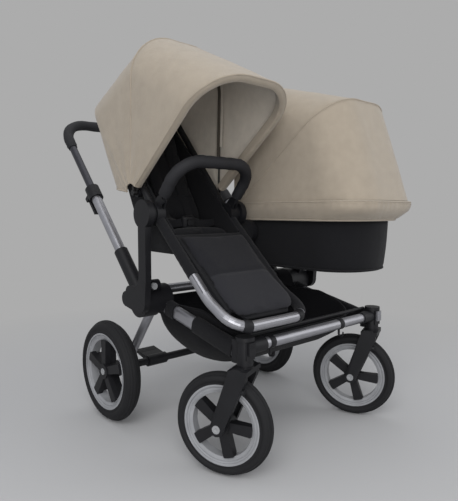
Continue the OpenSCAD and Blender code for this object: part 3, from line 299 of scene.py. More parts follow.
class Build:
    """Collects points and faces, in millimetres, for one mesh."""

    def __init__(self):
        self.points = []
        self.faces = []
        self.slots = []

    def add(self, points, faces, slot=0):
        start = len(self.points)
        self.points += [Vector(p) for p in points]
        self.faces += [tuple(i + start for i in face) for face in faces]
        self.slots += [slot] * len(faces)

    def grid(self, rows, slot=0, closed=False):
        """Sheet through rows of equal length; closed joins each row's ends."""
        n = len(rows[0])
        last = n if closed else n - 1
        faces = [(i * n + j, i * n + (j + 1) % n, (i + 1) * n + (j + 1) % n, (i + 1) * n + j)
                 for i in range(len(rows) - 1) for j in range(last)]
        self.add([p for row in rows for p in row], faces, slot)

    def fan(self, ring, centre, slot=0):
        """Closes a ring with faces to a centre."""
        n = len(ring)
        self.add([*ring, centre], [(k, (k + 1) % n, n) for k in range(n)], slot)

    def skin(self, outer, inner, lined=False):
        """Closed skin between two grids; a lined one has the second material inside."""
        self.grid(outer)
        self.grid([row[::-1] for row in inner], int(lined))
        edges = [(outer[0], inner[0]), (inner[-1], outer[-1]),
                 ([r[0] for r in inner], [r[0] for r in outer]),
                 ([r[-1] for r in outer], [r[-1] for r in inner])]
        for a, b in edges:
            self.grid([a, b])
        return self

    def tube(self, path, radius, sides, closed=False):
        """Round tube along points, with flat ends unless it is closed; its radius may run with the share."""
        pts = [Vector(p) for p in path]
        n = len(pts)
        rings = []
        side = None
        for i, p in enumerate(pts):
            ahead = pts[(i + 1) % n] if closed else pts[min(i + 1, n - 1)]
            behind = pts[i - 1] if closed or i else pts[0]
            t = (ahead - behind).normalized()
            if side is None:
                side = t.orthogonal().normalized()
            side = (side - t * side.dot(t)).normalized()
            up = t.cross(side)
            r = radius(i / max(1, n - 1)) if callable(radius) else radius
            rings.append([p + (side * cos(a) + up * sin(a)) * r
                          for a in (2 * pi * k / sides for k in range(sides))])
        if closed:
            rings.append(rings[0])
        self.grid(rings, closed=True)
        if not closed:
            self.fan(rings[0][::-1], pts[0])
            self.fan(rings[-1], pts[-1])
        return self

    def ribbon(self, path, across, width, thick, slot=0):
        """Flat strap along points, with its edges rounded."""
        pts = [Vector(p) for p in path]
        wide = Vector(across).normalized()
        profile = [(-0.5, -0.3), (-0.42, -0.5), (0.42, -0.5), (0.5, -0.3),
                   (0.5, 0.3), (0.42, 0.5), (-0.42, 0.5), (-0.5, 0.3)]
        rows = []
        for i, p in enumerate(pts):
            t = (pts[min(i + 1, len(pts) - 1)] - pts[max(i - 1, 0)]).normalized()
            up = wide.cross(t).normalized()
            rows.append([p + wide * (width * u) + up * (thick * v) for u, v in profile])
        self.grid(rows, slot, closed=True)
        for row in (rows[0][::-1], rows[-1]):
            self.add(row, [tuple(range(len(row)))], slot)

    def mesh(self, name, materials, sharp):
        mesh = bpy.data.meshes.new(name)
        mesh.from_pydata([p * MM for p in self.points], [], self.faces)
        for material in materials:
            mesh.materials.append(material)
        mesh.polygons.foreach_set("material_index", self.slots)
        bm = bmesh.new()
        bm.from_mesh(mesh)
        bmesh.ops.remove_doubles(bm, verts=bm.verts, dist=WELD)
        bmesh.ops.recalc_face_normals(bm, faces=bm.faces)
        bm.to_mesh(mesh)
        bm.free()
        mesh.shade_smooth()
        mesh.set_sharp_from_angle(angle=radians(sharp))
        return mesh

    def piece(self, name, materials, body, slot_name, *replaced, sharp=40):
        return piece(name, self.mesh(name, materials, sharp), body, slot_name, *replaced)


def new_object(name, data):
    """Object that holds the data, in the scene."""
    obj = bpy.data.objects.new(name, data)
    scene.collection.objects.link(obj)
    return obj


def piece(name, mesh, body, slot_name, *replaced):
    """Piece that rides on a body, if one is given, and stands for the replaced nodes."""
    obj = new_object(name, mesh)
    if body:
        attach(obj, body)
    if replaced:
        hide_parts(*replaced)
    return obj


def ruffle(grid, centre, height):
    """Moves each point of a grid outwards from a centre by height(row share, column share, point)."""
    moved = []
    for i, row in enumerate(grid):
        new = []
        for j, p in enumerate(row):
            along = grid[min(i + 1, len(grid) - 1)][j] - grid[max(i - 1, 0)][j]
            across = row[min(j + 1, len(row) - 1)] - row[max(j - 1, 0)]
            n = along.cross(across)
            n = n.normalized() if n.length > 1e-9 else Vector((0, 0, 1))
            if n.dot(p - centre) < 0:
                n = -n
            new.append(p + n * height(i / (len(grid) - 1), j / (len(row) - 1), p))
        moved.append(new)
    return moved


def ripple(p, scale, seed=0.0):
    """Smooth noise from 0 to 1 at a point in millimetres."""
    return 0.5 + 0.5 * noise.noise(Vector((p.x * scale + seed, p.y * scale, p.z * scale)))


# Canopies
ARCH_STEPS = (9, 12, 7)
PANEL_STEPS = 12
PANEL_SWELL = 0.05
TAPE_INSET = 12.5
TAPE_FROM, TAPE_W = 85.0, 13.0
BINDING_FROM, BINDING_W = 135.0, 9.0
BINDING_AHEAD = 12.0
TAPE_T = 1.6
# Depth behind the rim and inset of each line of the hem, and of the rib inside it
HEM_PATH = [(2.0, 0.0), (-3.0, 2.0), (-5.0, 7.0), (-5.0, 14.0), (-2.5, 20.0), (3.0, 22.0), (18.0, 21.0)]
HEM_CORE = (5.0, 12.0)
HEM_T = 1.2
STITCH_PITCH, STITCH_LENGTH = 6.0, 4.0
STITCH_R = 0.45
STITCH_LIFT = 0.4
EDGE_CORD_R, SEAM_CORD_R = 2.6, 1.8
LOWEST_ANGLE = -60
# Angle and share of the fold at each mark
SEAT_FOLDS = [(42.5, 1.0), (85.0, 0.5), (91.0, 0.5), (130.0, 0.0)]
HOOD_FOLDS = [(2.4, 0.0), (38.0, 0.5), (49.0, 0.5), (88.5, 1.0)]


def bow(half_w, reach, r, start, steps):
    """Points (x, distance) of an arch from foot to foot, with steps for a leg, a bend and half the top."""
    leg, bend, top = steps
    half = [(half_w, mix(start, reach - r, i / leg)) for i in range(leg)]
    half += [(half_w - r + r * cos(a), reach - r + r * sin(a))
             for a in (pi / 2 * i / bend for i in range(bend + 1))]
    half += [((half_w - r) * (1 - i / top), reach) for i in range(1, top + 1)]
    return [(-x, d) for x, d in half] + half[-2::-1]


def arch_row(row, place, inset):
    """Points of one row's arch, set in from the cloth's outside."""
    angle = radians(row[0])
    reach, half_w, r = (size - inset for size in row[1:])
    return [Vector((place[0] + x, place[1] - d * cos(angle), place[2] + d * sin(angle)))
            for x, d in bow(half_w, reach, r, CANOPY_ROOT, ARCH_STEPS)]


def canopy_rows(rows, place, inset):
    """Rows of points from hem to hem: chords between the ribs, with a slight outward swell."""
    grid = []
    for a, b in zip(rows, rows[1:]):
        ra, rb = arch_row(a, place, inset), arch_row(b, place, inset)
        for s in range(PANEL_STEPS):
            k = s / PANEL_STEPS
            arc = arch_row(tuple(mix(x, y, k) for x, y in zip(a, b)), place, inset)
            grid.append([p.lerp(q, k).lerp(m, PANEL_SWELL) for p, q, m in zip(ra, rb, arc)])
    grid.append(arch_row(rows[-1], place, inset))
    return grid


def edge_bead(name, row, radius, body):
    """Corded edge along one row of a canopy."""
    return Build().tube(row, radius, sides=10).piece(name, [canvas], body, "beige_fabric")


def rib_tape(name, row, place, body):
    """Tape along the middle rib's inner side, with a pale binding in front of it."""
    angle = radians(row[0])
    across = Vector((0, sin(angle), cos(angle)))

    def beyond(reach):
        return [p for p in arch_row(row, place, TAPE_INSET)
                if hypot(p.y - place[1], p.z - place[2]) > reach]
    build = Build()
    build.ribbon(beyond(TAPE_FROM), across, TAPE_W, TAPE_T)
    # The binding takes the lining's colour, lightened as painted light.
    build.ribbon([p - across * BINDING_AHEAD for p in beyond(BINDING_FROM)], across, BINDING_W, TAPE_T, 1)
    return build.piece(name, [tape_cloth, lining_painted_light], body, "beige_fabric")


def rib_pocket(name, row, place, turn, body):
    """Hem that wraps the opening's rib: out over its edge, in across it and back along its inner side."""
    angle = radians(row[0])
    inward = Vector((0, sin(angle), cos(angle))) * turn

    def at(depth, inset):
        return [p + inward * depth for p in arch_row(row, place, inset)]
    over = [at(*step) for step in HEM_PATH]
    core = at(*HEM_CORE)
    under = [[p + (c - p).normalized() * HEM_T for p, c in zip(line, core)] for line in over]
    return Build().skin(over, under).piece(name, [canvas], body, "beige_fabric")


def stitches(name, row, lift, body):
    """Row of thread dashes along points; lift(point) is how they stand proud of the cloth."""
    build = Build()
    gone = 0.0
    for p, q in zip(row, row[1:]):
        span = (q - p).length
        while gone < span:
            a = p.lerp(q, gone / span) + lift(p)
            b = p.lerp(q, min(1.0, (gone + STITCH_LENGTH) / span)) + lift(p)
            if (b - a).length > 1.0:
                build.tube([a, b], STITCH_R, sides=5)
            gone += STITCH_PITCH
        gone -= span
    return build.piece(name, [canvas], body, "beige_fabric")


def canopy_height(panels):
    """Wrinkle heights: soft swells, and folds that fan out from the pivots."""
    def height(v, u, p):
        near_root = bell(min(u, 1 - u), 0.11)
        fan = 0.5 + 0.5 * sin(v * panels * 9.0 + 3.0 * sin(u * 11.0))
        swell = 3.0 * ripple(p, 0.012) * ripple(p, 0.03, 7.0)
        edge = min(1.0, 12 * v, 12 * (1 - v))
        return edge * (swell + 2.2 * near_root * fan)
    return height


def fold_share(angle, folds):
    """Share of the fold at an angle, between the marks on either side."""
    for (a, wa), (b, wb) in zip(folds, folds[1:]):
        if angle <= b:
            return mix(wa, wb, max(0.0, (angle - a) / (b - a)))
    return folds[-1][1]


def make_canopy(name, node, rows, x, pivot, folds, seams, ribs):
    """One sewn sheet over the ribs: cloth outside, lining inside; fold shares by angle are worked out for its
    points but not applied.
    """
    (rib, turn, moving, open_node), (mid_row, mid_body, mid_node) = ribs
    place = (x, *pivot)
    centre = Vector((x, pivot[0] - 60.0 * cos(radians(rows[1][0])), pivot[1] + 120.0))
    height = canopy_height(len(rows) - 1)

    def away(p):
        return (p - centre).normalized() * STITCH_LIFT
    outer = ruffle(canopy_rows(rows, place, 0.0), centre, height)
    inner = ruffle(canopy_rows(rows, place, CLOTH_T), centre, height)
    # The inside takes the lining, lightened as painted light.
    build = Build().skin(outer, inner, lined=True)
    obj = build.piece(name, [canvas, lining_painted_light], None, "beige_fabric", node)
    hinge = Vector(place) * MM
    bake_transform(obj)
    for v in obj.data.vertices:
        d = v.co - hinge
        angle = degrees(atan2(d.z, -d.y))
        if angle < LOWEST_ANGLE:
            angle += 360
        fold_share(angle, folds)
    for seam, body in seams:
        k = seam * PANEL_STEPS
        row = outer[k]
        radius = EDGE_CORD_R if seam in (0, len(rows) - 1) else SEAM_CORD_R
        edge_bead(f"{name}_cord_{seam}", row, radius, body)
        for near in (k - 1, k + 1):
            if 0 <= near < len(outer):
                line = [p.lerp(q, 0.2) for p, q in zip(row, outer[near])]
                stitches(f"{name}_stitch_{near}", line, away, body)
    rib_pocket(f"{name}_pocket", rows[rib], place, turn, moving)
    rib_tape(f"{name}_tape", mid_row, place, mid_body)


make_canopy("seat_canopy_cloth", "seat_canopy", SEAT_ROWS, SEAT_X, SEAT_CANOPY, SEAT_FOLDS,
            [(0, "canopy_front"), (1, "canopy_mid"), (3, "seat")],
            [(0, 1, "canopy_front", "seat_front_rib"), (SEAT_ROWS[1], "canopy_mid", "seat_mid_rib")])
make_canopy("carrycot_hood_cloth", "carrycot_hood", HOOD_ROWS, COT_X, HOOD, HOOD_FOLDS,
            [(2, "hood_mid"), (3, "hood_open")],
            [(3, -1, "hood_open", "hood_open_rib"), (HOOD_MID_RIB, "hood_mid", "hood_mid_rib")])

# Height and outward bulge of each line of the band round the hood's foot
SKIRT_LINES = [(668.0, 0.5), (665.0, 2.5), (660.0, 3.5), (650.0, 2.5), (640.0, -0.5), (630.0, -5.0),
               (621.0, -10.0), (614.0, -14.0), (611.0, -17.0)]
SKIRT_STEPS = (30, 24, 8)
SKIRT_TURN_Z, SKIRT_TURN_H = 640.0, 29.0
SKIRT_REAR, SKIRT_REAR_CURVE = -84.0, 26.0
SKIRT_MIDDLE = -230.0
SKIRT_AHEAD, SKIRT_CLEAR = 38.0, 5.5
SKIRT_R, SKIRT_R_LOW = 108.0, 24.0
SKIRT_T = 1.5


def from_cot(x, y):
    """Level direction away from the middle of the hood's foot."""
    return Vector((x, y - SKIRT_MIDDLE, 0)).normalized()


def make_skirt():
    """Gathered band round the foot of the hood, from its seam down over the carrycot's rim."""
    rows = []
    for z, out in SKIRT_LINES:
        low = max(0.0, (SKIRT_TURN_Z - z) / SKIRT_TURN_H)
        half, r = CANOPY_HALF_W + SKIRT_CLEAR + out, SKIRT_R + SKIRT_R_LOW * low
        front = TUB_FRONT - SKIRT_AHEAD - out * (2.0 if out < 0 else 1.0)
        rear = SKIRT_REAR - SKIRT_REAR_CURVE * (1 - sqrt(1 - low * low))
        gather = bell(z - 658.0, 10.0) + 0.7 * bell(z - 620.0, 8.0)
        row = []
        for i, (x, d) in enumerate(bow(half, -front, r, -rear, SKIRT_STEPS)):
            p = Vector((COT_X + x, -d, z))
            fold = gather * 1.8 * sin(i * 2.1 + 2.0 * ripple(p, 0.03)) + 2.0 * ripple(p, 0.012) - 1.0
            row.append(p + from_cot(x, -d) * fold)
        rows.append(row)
    inside = [[p - from_cot(p.x - COT_X, p.y) * SKIRT_T for p in row] for row in rows]
    obj = Build().skin(rows, inside).piece("hood_skirt", [canvas], "carrycot", "beige_fabric", sharp=50)
    trim = [edge_bead("hood_skirt_seam", rows[1], 1.9, "carrycot"),
            edge_bead("hood_skirt_hem", rows[-2], 2.4, "carrycot")]

    def away(p):
        return from_cot(p.x - COT_X, p.y) * STITCH_LIFT
    for k in (2, len(rows) - 3):
        trim.append(stitches(f"hood_skirt_stitch_{k}", rows[k], away, "carrycot"))


make_skirt()


# Carrycot: tub, mattress and apron; each shape is the inset and height of its rings
TUB_SHAPE = [(34, 0), (20, 2.5), (13, 9), (9.5, 20), (7, 40), (4.5, 65), (2.5, 90), (1.2, 115), (0.3, 138),
             (1.8, 142), (0.3, 146), (0, TUB_RIM - TUB_BOTTOM)]
MATTRESS_SHAPE = [(8, 0.0), (2, 3.0), (0, 9.0), (0, 20.0), (2, 27.0), (7, 32.0), (15, 35.5), (28, 38.0),
                  (60, 39.5)]
MATTRESS_INSET, MATTRESS_T = TUB_WALL + 14.0, 40.5


def round_outline(x0, x1, y0, y1, r, corner=10, straight=14):
    """Rounded rectangle in plan, with points along its straight sides too."""
    corners = [(x1 - r, y1 - r, 0), (x0 + r, y1 - r, 90), (x0 + r, y0 + r, 180), (x1 - r, y0 + r, 270)]
    arcs = []
    for cx, cy, start in corners:
        turn = [radians(start + 90 * i / corner) for i in range(corner + 1)]
        arcs.append([(cx + r * cos(a), cy + r * sin(a)) for a in turn])
    loop = []
    for arc, after in zip(arcs, arcs[1:] + arcs[:1]):
        (ax, ay), (bx, by) = arc[-1], after[0]
        loop += arc + [(mix(ax, bx, i / straight), mix(ay, by, i / straight)) for i in range(1, straight)]
    return loop


def tub_ring(inset, z):
    """Level outline of the tub at a height, set in from its outside; its rear end slopes."""
    rear = TUB_REAR - TUB_REAR_SLOPE * (TUB_RIM - z)
    r = max(20.0, TUB_R - inset)
    half = TUB_HALF_W - inset
    return [Vector((COT_X + x, y, z)) for x, y in
            round_outline(-half, half, TUB_FRONT + inset, rear - inset, min(r, half - 0.5))]


def loft(rings, x, y, low, thick):
    """Closed form through rings, with faces to a centre at a height and that much above it."""
    build = Build()
    build.grid(rings, closed=True)
    build.fan(rings[0], (x, y, low))
    build.fan(rings[-1], (x, y, low + thick))
    return build


def rounded_half(half_w, r, gap):
    """Half width at a distance from an end whose corners are rounded by r."""
    d = max(0.0, r - gap)
    return half_w - r + sqrt(max(0.0, r * r - d * d))


def make_tub():
    """Fabric tub: an even shell with a seam under the rim, slack puckers in its sides and a piped foot."""
    rings = []
    for inset, up in TUB_SHAPE:
        slack = bell(up - 75, 60)
        rings.append([p + Vector((p.x - COT_X, 0, 0)).normalized() * (-2.2 * slack * ripple(p, 0.014))
                      for p in tub_ring(inset, TUB_BOTTOM + up)])
    rings += [tub_ring(TUB_WALL, TUB_RIM), tub_ring(TUB_WALL + 3, TUB_BOTTOM + 80),
              tub_ring(TUB_WALL + 11, TUB_BOTTOM + TUB_WALL)]
    build = loft(rings, COT_X, TUB_MIDDLE, TUB_BOTTOM, TUB_WALL)
    for inset, z, r in ((12.0, TUB_BOTTOM + 8.0, 2.2), (0.6, TUB_BOTTOM + 142.0, 1.2)):
        build.tube(tub_ring(inset, z), r, sides=8, closed=True)
    obj = build.piece("carrycot_tub_cover", [black_cloth], "carrycot", "black_fabric", "carrycot_tub",
                      sharp=55)


VOXEL = 0.005
PRESSURE = 4.0
PUFF_FRAMES = 20


def puffed(mesh, cap):
    """Swells a closed pad by a short cloth simulation; its underside at z = 0 stays flat."""
    obj = new_object("puff", mesh)
    remesh = obj.modifiers.new("remesh", "REMESH")
    remesh.mode = "VOXEL"
    remesh.voxel_size = VOXEL

    def baked():
        evaluated = obj.evaluated_get(bpy.context.evaluated_depsgraph_get())
        return bpy.data.meshes.new_from_object(evaluated)

    obj.data = baked()
    obj.modifiers.clear()
    rest = [v.co.copy() for v in obj.data.vertices]
    cloth = obj.modifiers.new("cloth", "CLOTH")
    cloth.settings.use_pressure = True
    cloth.settings.uniform_pressure_force = PRESSURE
    cloth.settings.effector_weights.gravity = 0.0
    for frame_number in range(1, PUFF_FRAMES + 1):
        scene.frame_set(frame_number)
    swollen = baked()
    obj.modifiers.clear()
    scene.frame_set(1)
    for v, start in zip(swollen.vertices, rest):
        move = v.co - start
        if move.length > cap:
            move *= cap / move.length
        v.co = start + move
        v.co.z = max(0.0, v.co.z)
    for material in mesh.materials:
        if material.name not in [m.name for m in swollen.materials if m]:
            swollen.materials.append(material)
    bpy.data.objects.remove(obj)
    swollen.shade_smooth()
    return swollen


PAD_U, PAD_V = 26, 40
PAD_EDGE_T = 4.0
PAD_DRAW_IN = 0.03
PAD_LIFT = 0.1
CREASE_W = 7.0
CREASE_SHARE = 0.35


def on_sling(p, q, start, length):
    """Matrix that lays a pad on the seat between two side-view points."""
    u = (q - p).normalized()
    c = p + u * (start + length / 2) + Vector((-u.y, u.x)) * PAD_LIFT
    turn = Matrix.Rotation(atan2(u.y, u.x), 4, "X")
    return Matrix.Translation(Vector((SEAT_X, *c)) * MM) @ turn


def pad_mesh(name, w, l, t, r, materials):
    """Closed pad on z = 0: crowned, its sides drawn in, its lower corners rounded by r."""
    def point(u, v):
        half = rounded_half(w / 2, r, (1 + v) * l / 2)
        return half * u * (1 - PAD_DRAW_IN * (1 - v * v)), l / 2 * v * (1 - PAD_DRAW_IN * (1 - u * u))
    us, vs = ([2 * i / n - 1 for i in range(n + 1)] for n in (PAD_U, PAD_V))
    top, bottom = [], []
    for v in vs:
        flat = [point(u, v) for u in us]
        crown = [((1 - abs(u) ** 6) * (1 - abs(v) ** 6)) ** 0.4 for u in us]
        top.append([(x, y, PAD_EDGE_T + (t - PAD_EDGE_T) * c) for (x, y), c in zip(flat, crown)])
        bottom.append([(x, y, 0.0) for x, y in flat])
    return Build().skin(top, bottom).mesh(name, materials, 180)


def crease(mesh, length, places, depth):
    """Sewn channels across a pad, after it has swollen."""
    top = max(v.co.z for v in mesh.vertices)
    for v in mesh.vertices:
        dip = max(bell(v.co.y / MM - c * length / 2, CREASE_W) for c in places)
        v.co.z -= depth * MM * dip * v.co.z / top


def edge_band(mesh, w, l, r, border, seam):
    """Second material near the rim and underneath, and the third above the seam, as painted shade on the
    pad's upper part.
    """
    for face in mesh.polygons:
        x, y = abs(face.center.x) / MM, face.center.y / MM
        near = rounded_half(w / 2, r, l / 2 + y) - x < border or l / 2 + y < border
        if near or face.normal.z < 0:
            face.material_index = 1
        # Faces above the seam take the darker cloth: painted shade on the upper part of the pad.
        elif y > seam * l / 2:
            face.material_index = 2


def make_pad(name, node, place, w, l, t, channels, materials, r, cap=0.008, border=0.0):
    """Swollen pad on the seat, with sewn channels at shares of its half length."""
    mesh = puffed(pad_mesh(name, w, l, t, r, materials), cap)
    crease(mesh, l, channels, t * CREASE_SHARE)
    if border:
        edge_band(mesh, w, l, r, border, channels[0])
    mesh.transform(place)
    obj = piece(name, mesh, "seat", "black_fabric", *node)
    obj.modifiers.new("smooth", "SUBSURF").render_levels = 1


def make_mattress():
    """Mattress with a rounded top edge and a piped seam, inside the tub."""
    base = TUB_BOTTOM + TUB_WALL + 0.5
    rings = [tub_ring(MATTRESS_INSET + more, base + up) for more, up in MATTRESS_SHAPE]
    build = loft(rings, COT_X, TUB_MIDDLE, base, MATTRESS_T)
    build.tube(tub_ring(MATTRESS_INSET + 3.5, base + 28.5), 1.8, sides=8, closed=True)
    obj = build.piece("mattress_cover", [white_cloth], "carrycot", "white_fabric", "mattress", sharp=60)


def make_apron():
    """Cover over the foot end, stretched over the rim, with a corded edge towards the baby."""
    def rows(lift):
        grid = []
        for i in range(33):
            v = sin(pi / 2 * i / 32)
            y = mix(APRON_FRONT, TUB_REAR - 4.0, v)
            h = max(1.0, rounded_half(TUB_R, TUB_R, TUB_REAR - y))
            row = []
            for u in (2 * j / 28 - 1 for j in range(29)):
                crown = APRON_CROWN * (1 - u * u) * (1 - 0.8 * v ** 4)
                wrinkle = 1.6 * (1 - u * u) * ripple(Vector((h * u, y, 0)), 0.02)
                row.append((COT_X + h * u, y, RIM_TOP + lift + crown + wrinkle))
            grid.append(row)
        return grid

    # The underside takes the lining, lightened as painted light.
    build = Build().skin(rows(CLOTH_T + 1.0), rows(0.0), lined=True)
    obj = build.piece("apron_cloth", [canvas, lining_painted_light], "carrycot", "beige_fabric", "apron", sharp=50)
    bead = edge_bead("apron_cord", rows(2.0)[0], EDGE_CORD_R, "carrycot")


make_tub()
make_mattress()
make_apron()


# Seat: sling, pads, harness
BEND_STEPS = 6
TOE_OVER = 36.0
TOE_NARROW, TOE_LENGTH = 41.7, 20.0
WALL_BULGE = 2.5
SLEEVE_END_Z = 476.0
COUPLING_IN, COUPLING_OUT = 78.0, 106.0
DOWN_LEG = (FOOT_END - KNEE_EDGE).normalized()
LEG_SPAN = (FOOT_END - KNEE_EDGE).length


def smooth_path(points, radius):
    """Side-view path with its inner corners rounded."""
    path = [points[0]]
    for a, b, c in zip(points, points[1:], points[2:]):
        cut = min(radius, (b - a).length * 0.45, (c - b).length * 0.45)
        p, q = b + (a - b).normalized() * cut, b + (c - b).normalized() * cut
        for i in range(BEND_STEPS + 1):
            k = i / BEND_STEPS
            path.append(p.lerp(b, k).lerp(b.lerp(q, k), k))
    path.append(points[-1])
    return path


def resample(path, step):
    """The same path with points about a step apart."""
    pts = [path[0]]
    for a, b in zip(path, path[1:]):
        n = max(1, round((b - a).length / step))
        pts += [a.lerp(b, i / n) for i in range(1, n + 1)]
    return pts


def along_shares(points, count):
    """That many points at even shares of a path's length."""
    spans = [(b - a).length for a, b in zip(points, points[1:])]
    found = []
    for i in range(count):
        left = sum(spans) * i / (count - 1)
        k = 0
        while left > spans[k] + 1e-6:
            left -= spans[k]
            k += 1
        found.append(points[k].lerp(points[k + 1], min(1.0, left / spans[k])))
    return found


def make_sling():
    """Black cloth seat: a band under the pads and two side walls with corded edges."""
    toe = FOOT_END + DOWN_LEG * TOE_OVER
    path = resample(smooth_path([HEAD_END, HIP, PAN_REAR, PAN_FRONT, KNEE_EDGE, FOOT_END, toe], 12.0), 18.0)
    us = [j / 9 - 1 for j in range(19)]
    top, under = [], []
    for i, p in enumerate(path):
        t = (path[min(i + 1, len(path) - 1)] - path[max(i - 1, 0)]).normalized()
        n = Vector((t.y, -t.x))
        past = max(0.0, (p - FOOT_END).dot(DOWN_LEG))
        half = SLING_X - TOE_NARROW * min(past, TOE_LENGTH) / TOE_LENGTH
        for grid, q in ((top, p), (under, p - n * SLING_T * 0.8)):
            grid.append([(SEAT_X + half * u, *q) for u in us])
    build = Build().skin(top, under)
    rear = resample([HEAD_END, HIP, PAN_REAR], 14.0)
    front_line = [HEAD_END, Vector((-130, 645)), KNEE_EDGE, Vector((-185, 526))]
    front = along_shares(front_line, len(rear))

    def wall(side, x):
        rows = []
        for a, b in zip(rear, front):
            wrinkle = ripple(Vector((a.x, a.y, 0)), 0.02)
            out = [x + WALL_BULGE * sin(pi * k / 10) * wrinkle for k in range(11)]
            rows.append([(SEAT_X + side * out[k], *a.lerp(b, k / 10)) for k in range(11)])
        return rows
    edge = resample(front_line[:3], 12.0)
    for side in (-1, 1):
        build.skin(wall(side, SLING_X), wall(side, SLING_X - SLING_T * 0.7))
        build.tube([(SEAT_X + side * (SLING_X - 2), *p) for p in edge], 3.2, sides=8)
    obj = build.piece("seat_sling_cloth", [black_cloth], "seat", "black_fabric", "seat_sling", sharp=45)


def leg_points(side):
    """Side tube of the seat from its hub to the foot bar, with a round bend at the knee and the foot."""
    start = SEAT_PIVOT.lerp(KNEE, 0.09)
    a, knee, foot = (Vector((SEAT_X + side * SEAT_TUBE_X, *p)) for p in (start, KNEE, FOOT))
    bar = Vector((SEAT_X, *FOOT))
    path = [a]
    for before, corner, after, r in ((a, knee, foot, 150.0), (knee, foot, bar, 55.0)):
        u, w = (before - corner).normalized(), (after - corner).normalized()
        bend = pi - u.angle(w)
        cut = r * tan(bend / 2)
        middle = corner + (u + w).normalized() * (r / cos(bend / 2))
        p = corner + u * cut
        axis = (p - middle).cross(-u).normalized()
        path += [middle + Quaternion(axis, bend * i / 12) @ (p - middle) for i in range(13)]
    path.append(bar)
    return path


def make_gussets():
    """Black cloth between the leg panel and the side tubes, slack in the middle."""
    build = Build()
    for side in (-1, 1):
        tube = resample([p for p in leg_points(side) if abs(p.x - SEAT_X) > SEAT_TUBE_X - 4.0], 6.0)
        rows = []
        for i in range(31):
            p = KNEE_EDGE + DOWN_LEG * mix(-6.0, LEG_SPAN + 10.0, i / 30)
            q = min(tube, key=lambda t: abs((Vector((t.y, t.z)) - p).dot(DOWN_LEG)))
            inner = Vector((SEAT_X + side * (SLING_X - 8.0), p.x, p.y - 1.0))
            outer = q + Vector((-side * 6.0, 4.0, 9.0))
            rows.append([inner.lerp(outer, k / 6) - Vector((0, 0, 3.0 * sin(pi * k / 6)))
                         for k in range(7)])
        build.skin(rows, [[p - Vector((0, 1.0, 1.4)) for p in row] for row in rows])
    obj = build.piece("leg_gussets", [black_cloth], "seat", "black_fabric", sharp=50)


# Each pad starts a little smaller than its place, because it swells
BACK_L, BACK_T = 392.0, 30.0
BASE_L, BASE_T = 112.0, 34.0
LEG_OVER = 40.0
LEG_L, LEG_T = LEG_SPAN - 10.0 + LEG_OVER, 14.0
PAD_W = 2 * PAD_HALF_W - 6
make_sling()
make_gussets()
make_pad("seat_back_pad", [], on_sling(HIP, HEAD_END, 26.0, BACK_L), PAD_W, BACK_L - 6, BACK_T,
         (-0.3, 0.3), [black_cloth], r=30.0)
make_pad("seat_base_pad", ["seat_liner"], on_sling(PAN_FRONT, PAN_REAR, 4.0, BASE_L), PAD_W, BASE_L - 6,
         BASE_T, (0.0,), [black_cloth], r=10.0)
# The leg pad's third material is painted shade above its seam.
make_pad("leg_pad", ["leg_panel"], on_sling(FOOT_END, KNEE_EDGE, -LEG_OVER, LEG_L), 2 * SLING_X - 5,
         LEG_L - 5, LEG_T, (-0.05,), [panel_cloth, black_cloth, panel_painted_shade], r=44.0, cap=0.005, border=7.0)


def make_harness():
    """Webbing straps with padded shoulder covers, and a moulded buckle round the release button."""
    back = (HEAD_END - HIP).normalized()
    out = Vector((-back.y, back.x))
    face = HIP + out * BACK_FACE
    corners = [face + back * STRAP_TOP, face + back * STRAP_LOW, BUCKLE + Vector((4, 6))]
    strap = resample(smooth_path(corners, 22.0), 10.0)
    cover = resample([face + back * end + out * 2.5 for end in (COVER_TOP, COVER_LOW)], 10.0)
    build = Build()
    for side in (-1, 1):
        x = SEAT_X + side * STRAP_X
        for path, w, t in ((strap, STRAP_W, STRAP_T), (cover, COVER_W, COVER_T)):
            build.ribbon([(x, *p) for p in path], (1, 0, 0), w, t)
        lap = [(SEAT_X + side * mix(21.0, PAD_HALF_W, k / 8), BUCKLE.x + 3.0 + 10.0 * (k / 8) ** 2,
                BUCKLE.y + 1.0 - 4.0 * sin(pi * k / 8)) for k in range(9)]
        build.ribbon(lap, (0, 0.25, 1), LAP_W, STRAP_T)
    shell = [(22.0, 20.0, 0.0), (22.0, 20.0, 5.0), (21.0, 19.0, 9.0), (18.0, 16.0, 13.0), (10.0, 9.5, 13.6)]
    rings = [[(SEAT_X + x, BUCKLE.x + 6.5 - up, BUCKLE.y + z)
              for x, z in round_outline(-w, w, -h, h, min(w, h) * 0.45, 6, 3)] for w, h, up in shell]
    build.grid(rings, 1, closed=True)
    build.fan(rings[0], (SEAT_X, BUCKLE.x + 6.5, BUCKLE.y), 1)
    build.piece("harness_webbing", [webbing, plastic], "seat", "black_fabric", "harness", sharp=45)


make_harness()


# Basket: a sagging bag with a bound rim, hung from sleeves round the side beams
BASKET_DEPTHS = [0, 0.06, 0.14, 0.24, 0.34, 0.44, 0.54, 0.63, 0.71, 0.78, 0.84, 0.89, 0.93, 0.965, 1.0]
OVAL_STEPS = 8
SLEEVE_T = 4.0
SLEEVE_END_T = 0.6


def beam_z(y):
    """Height of a side beam's middle line."""
    return BEAM_FRONT_Z + (BEAM_REAR_Z - BEAM_FRONT_Z) * (y - CASTER_Y) / (HUB_Y - CASTER_Y)


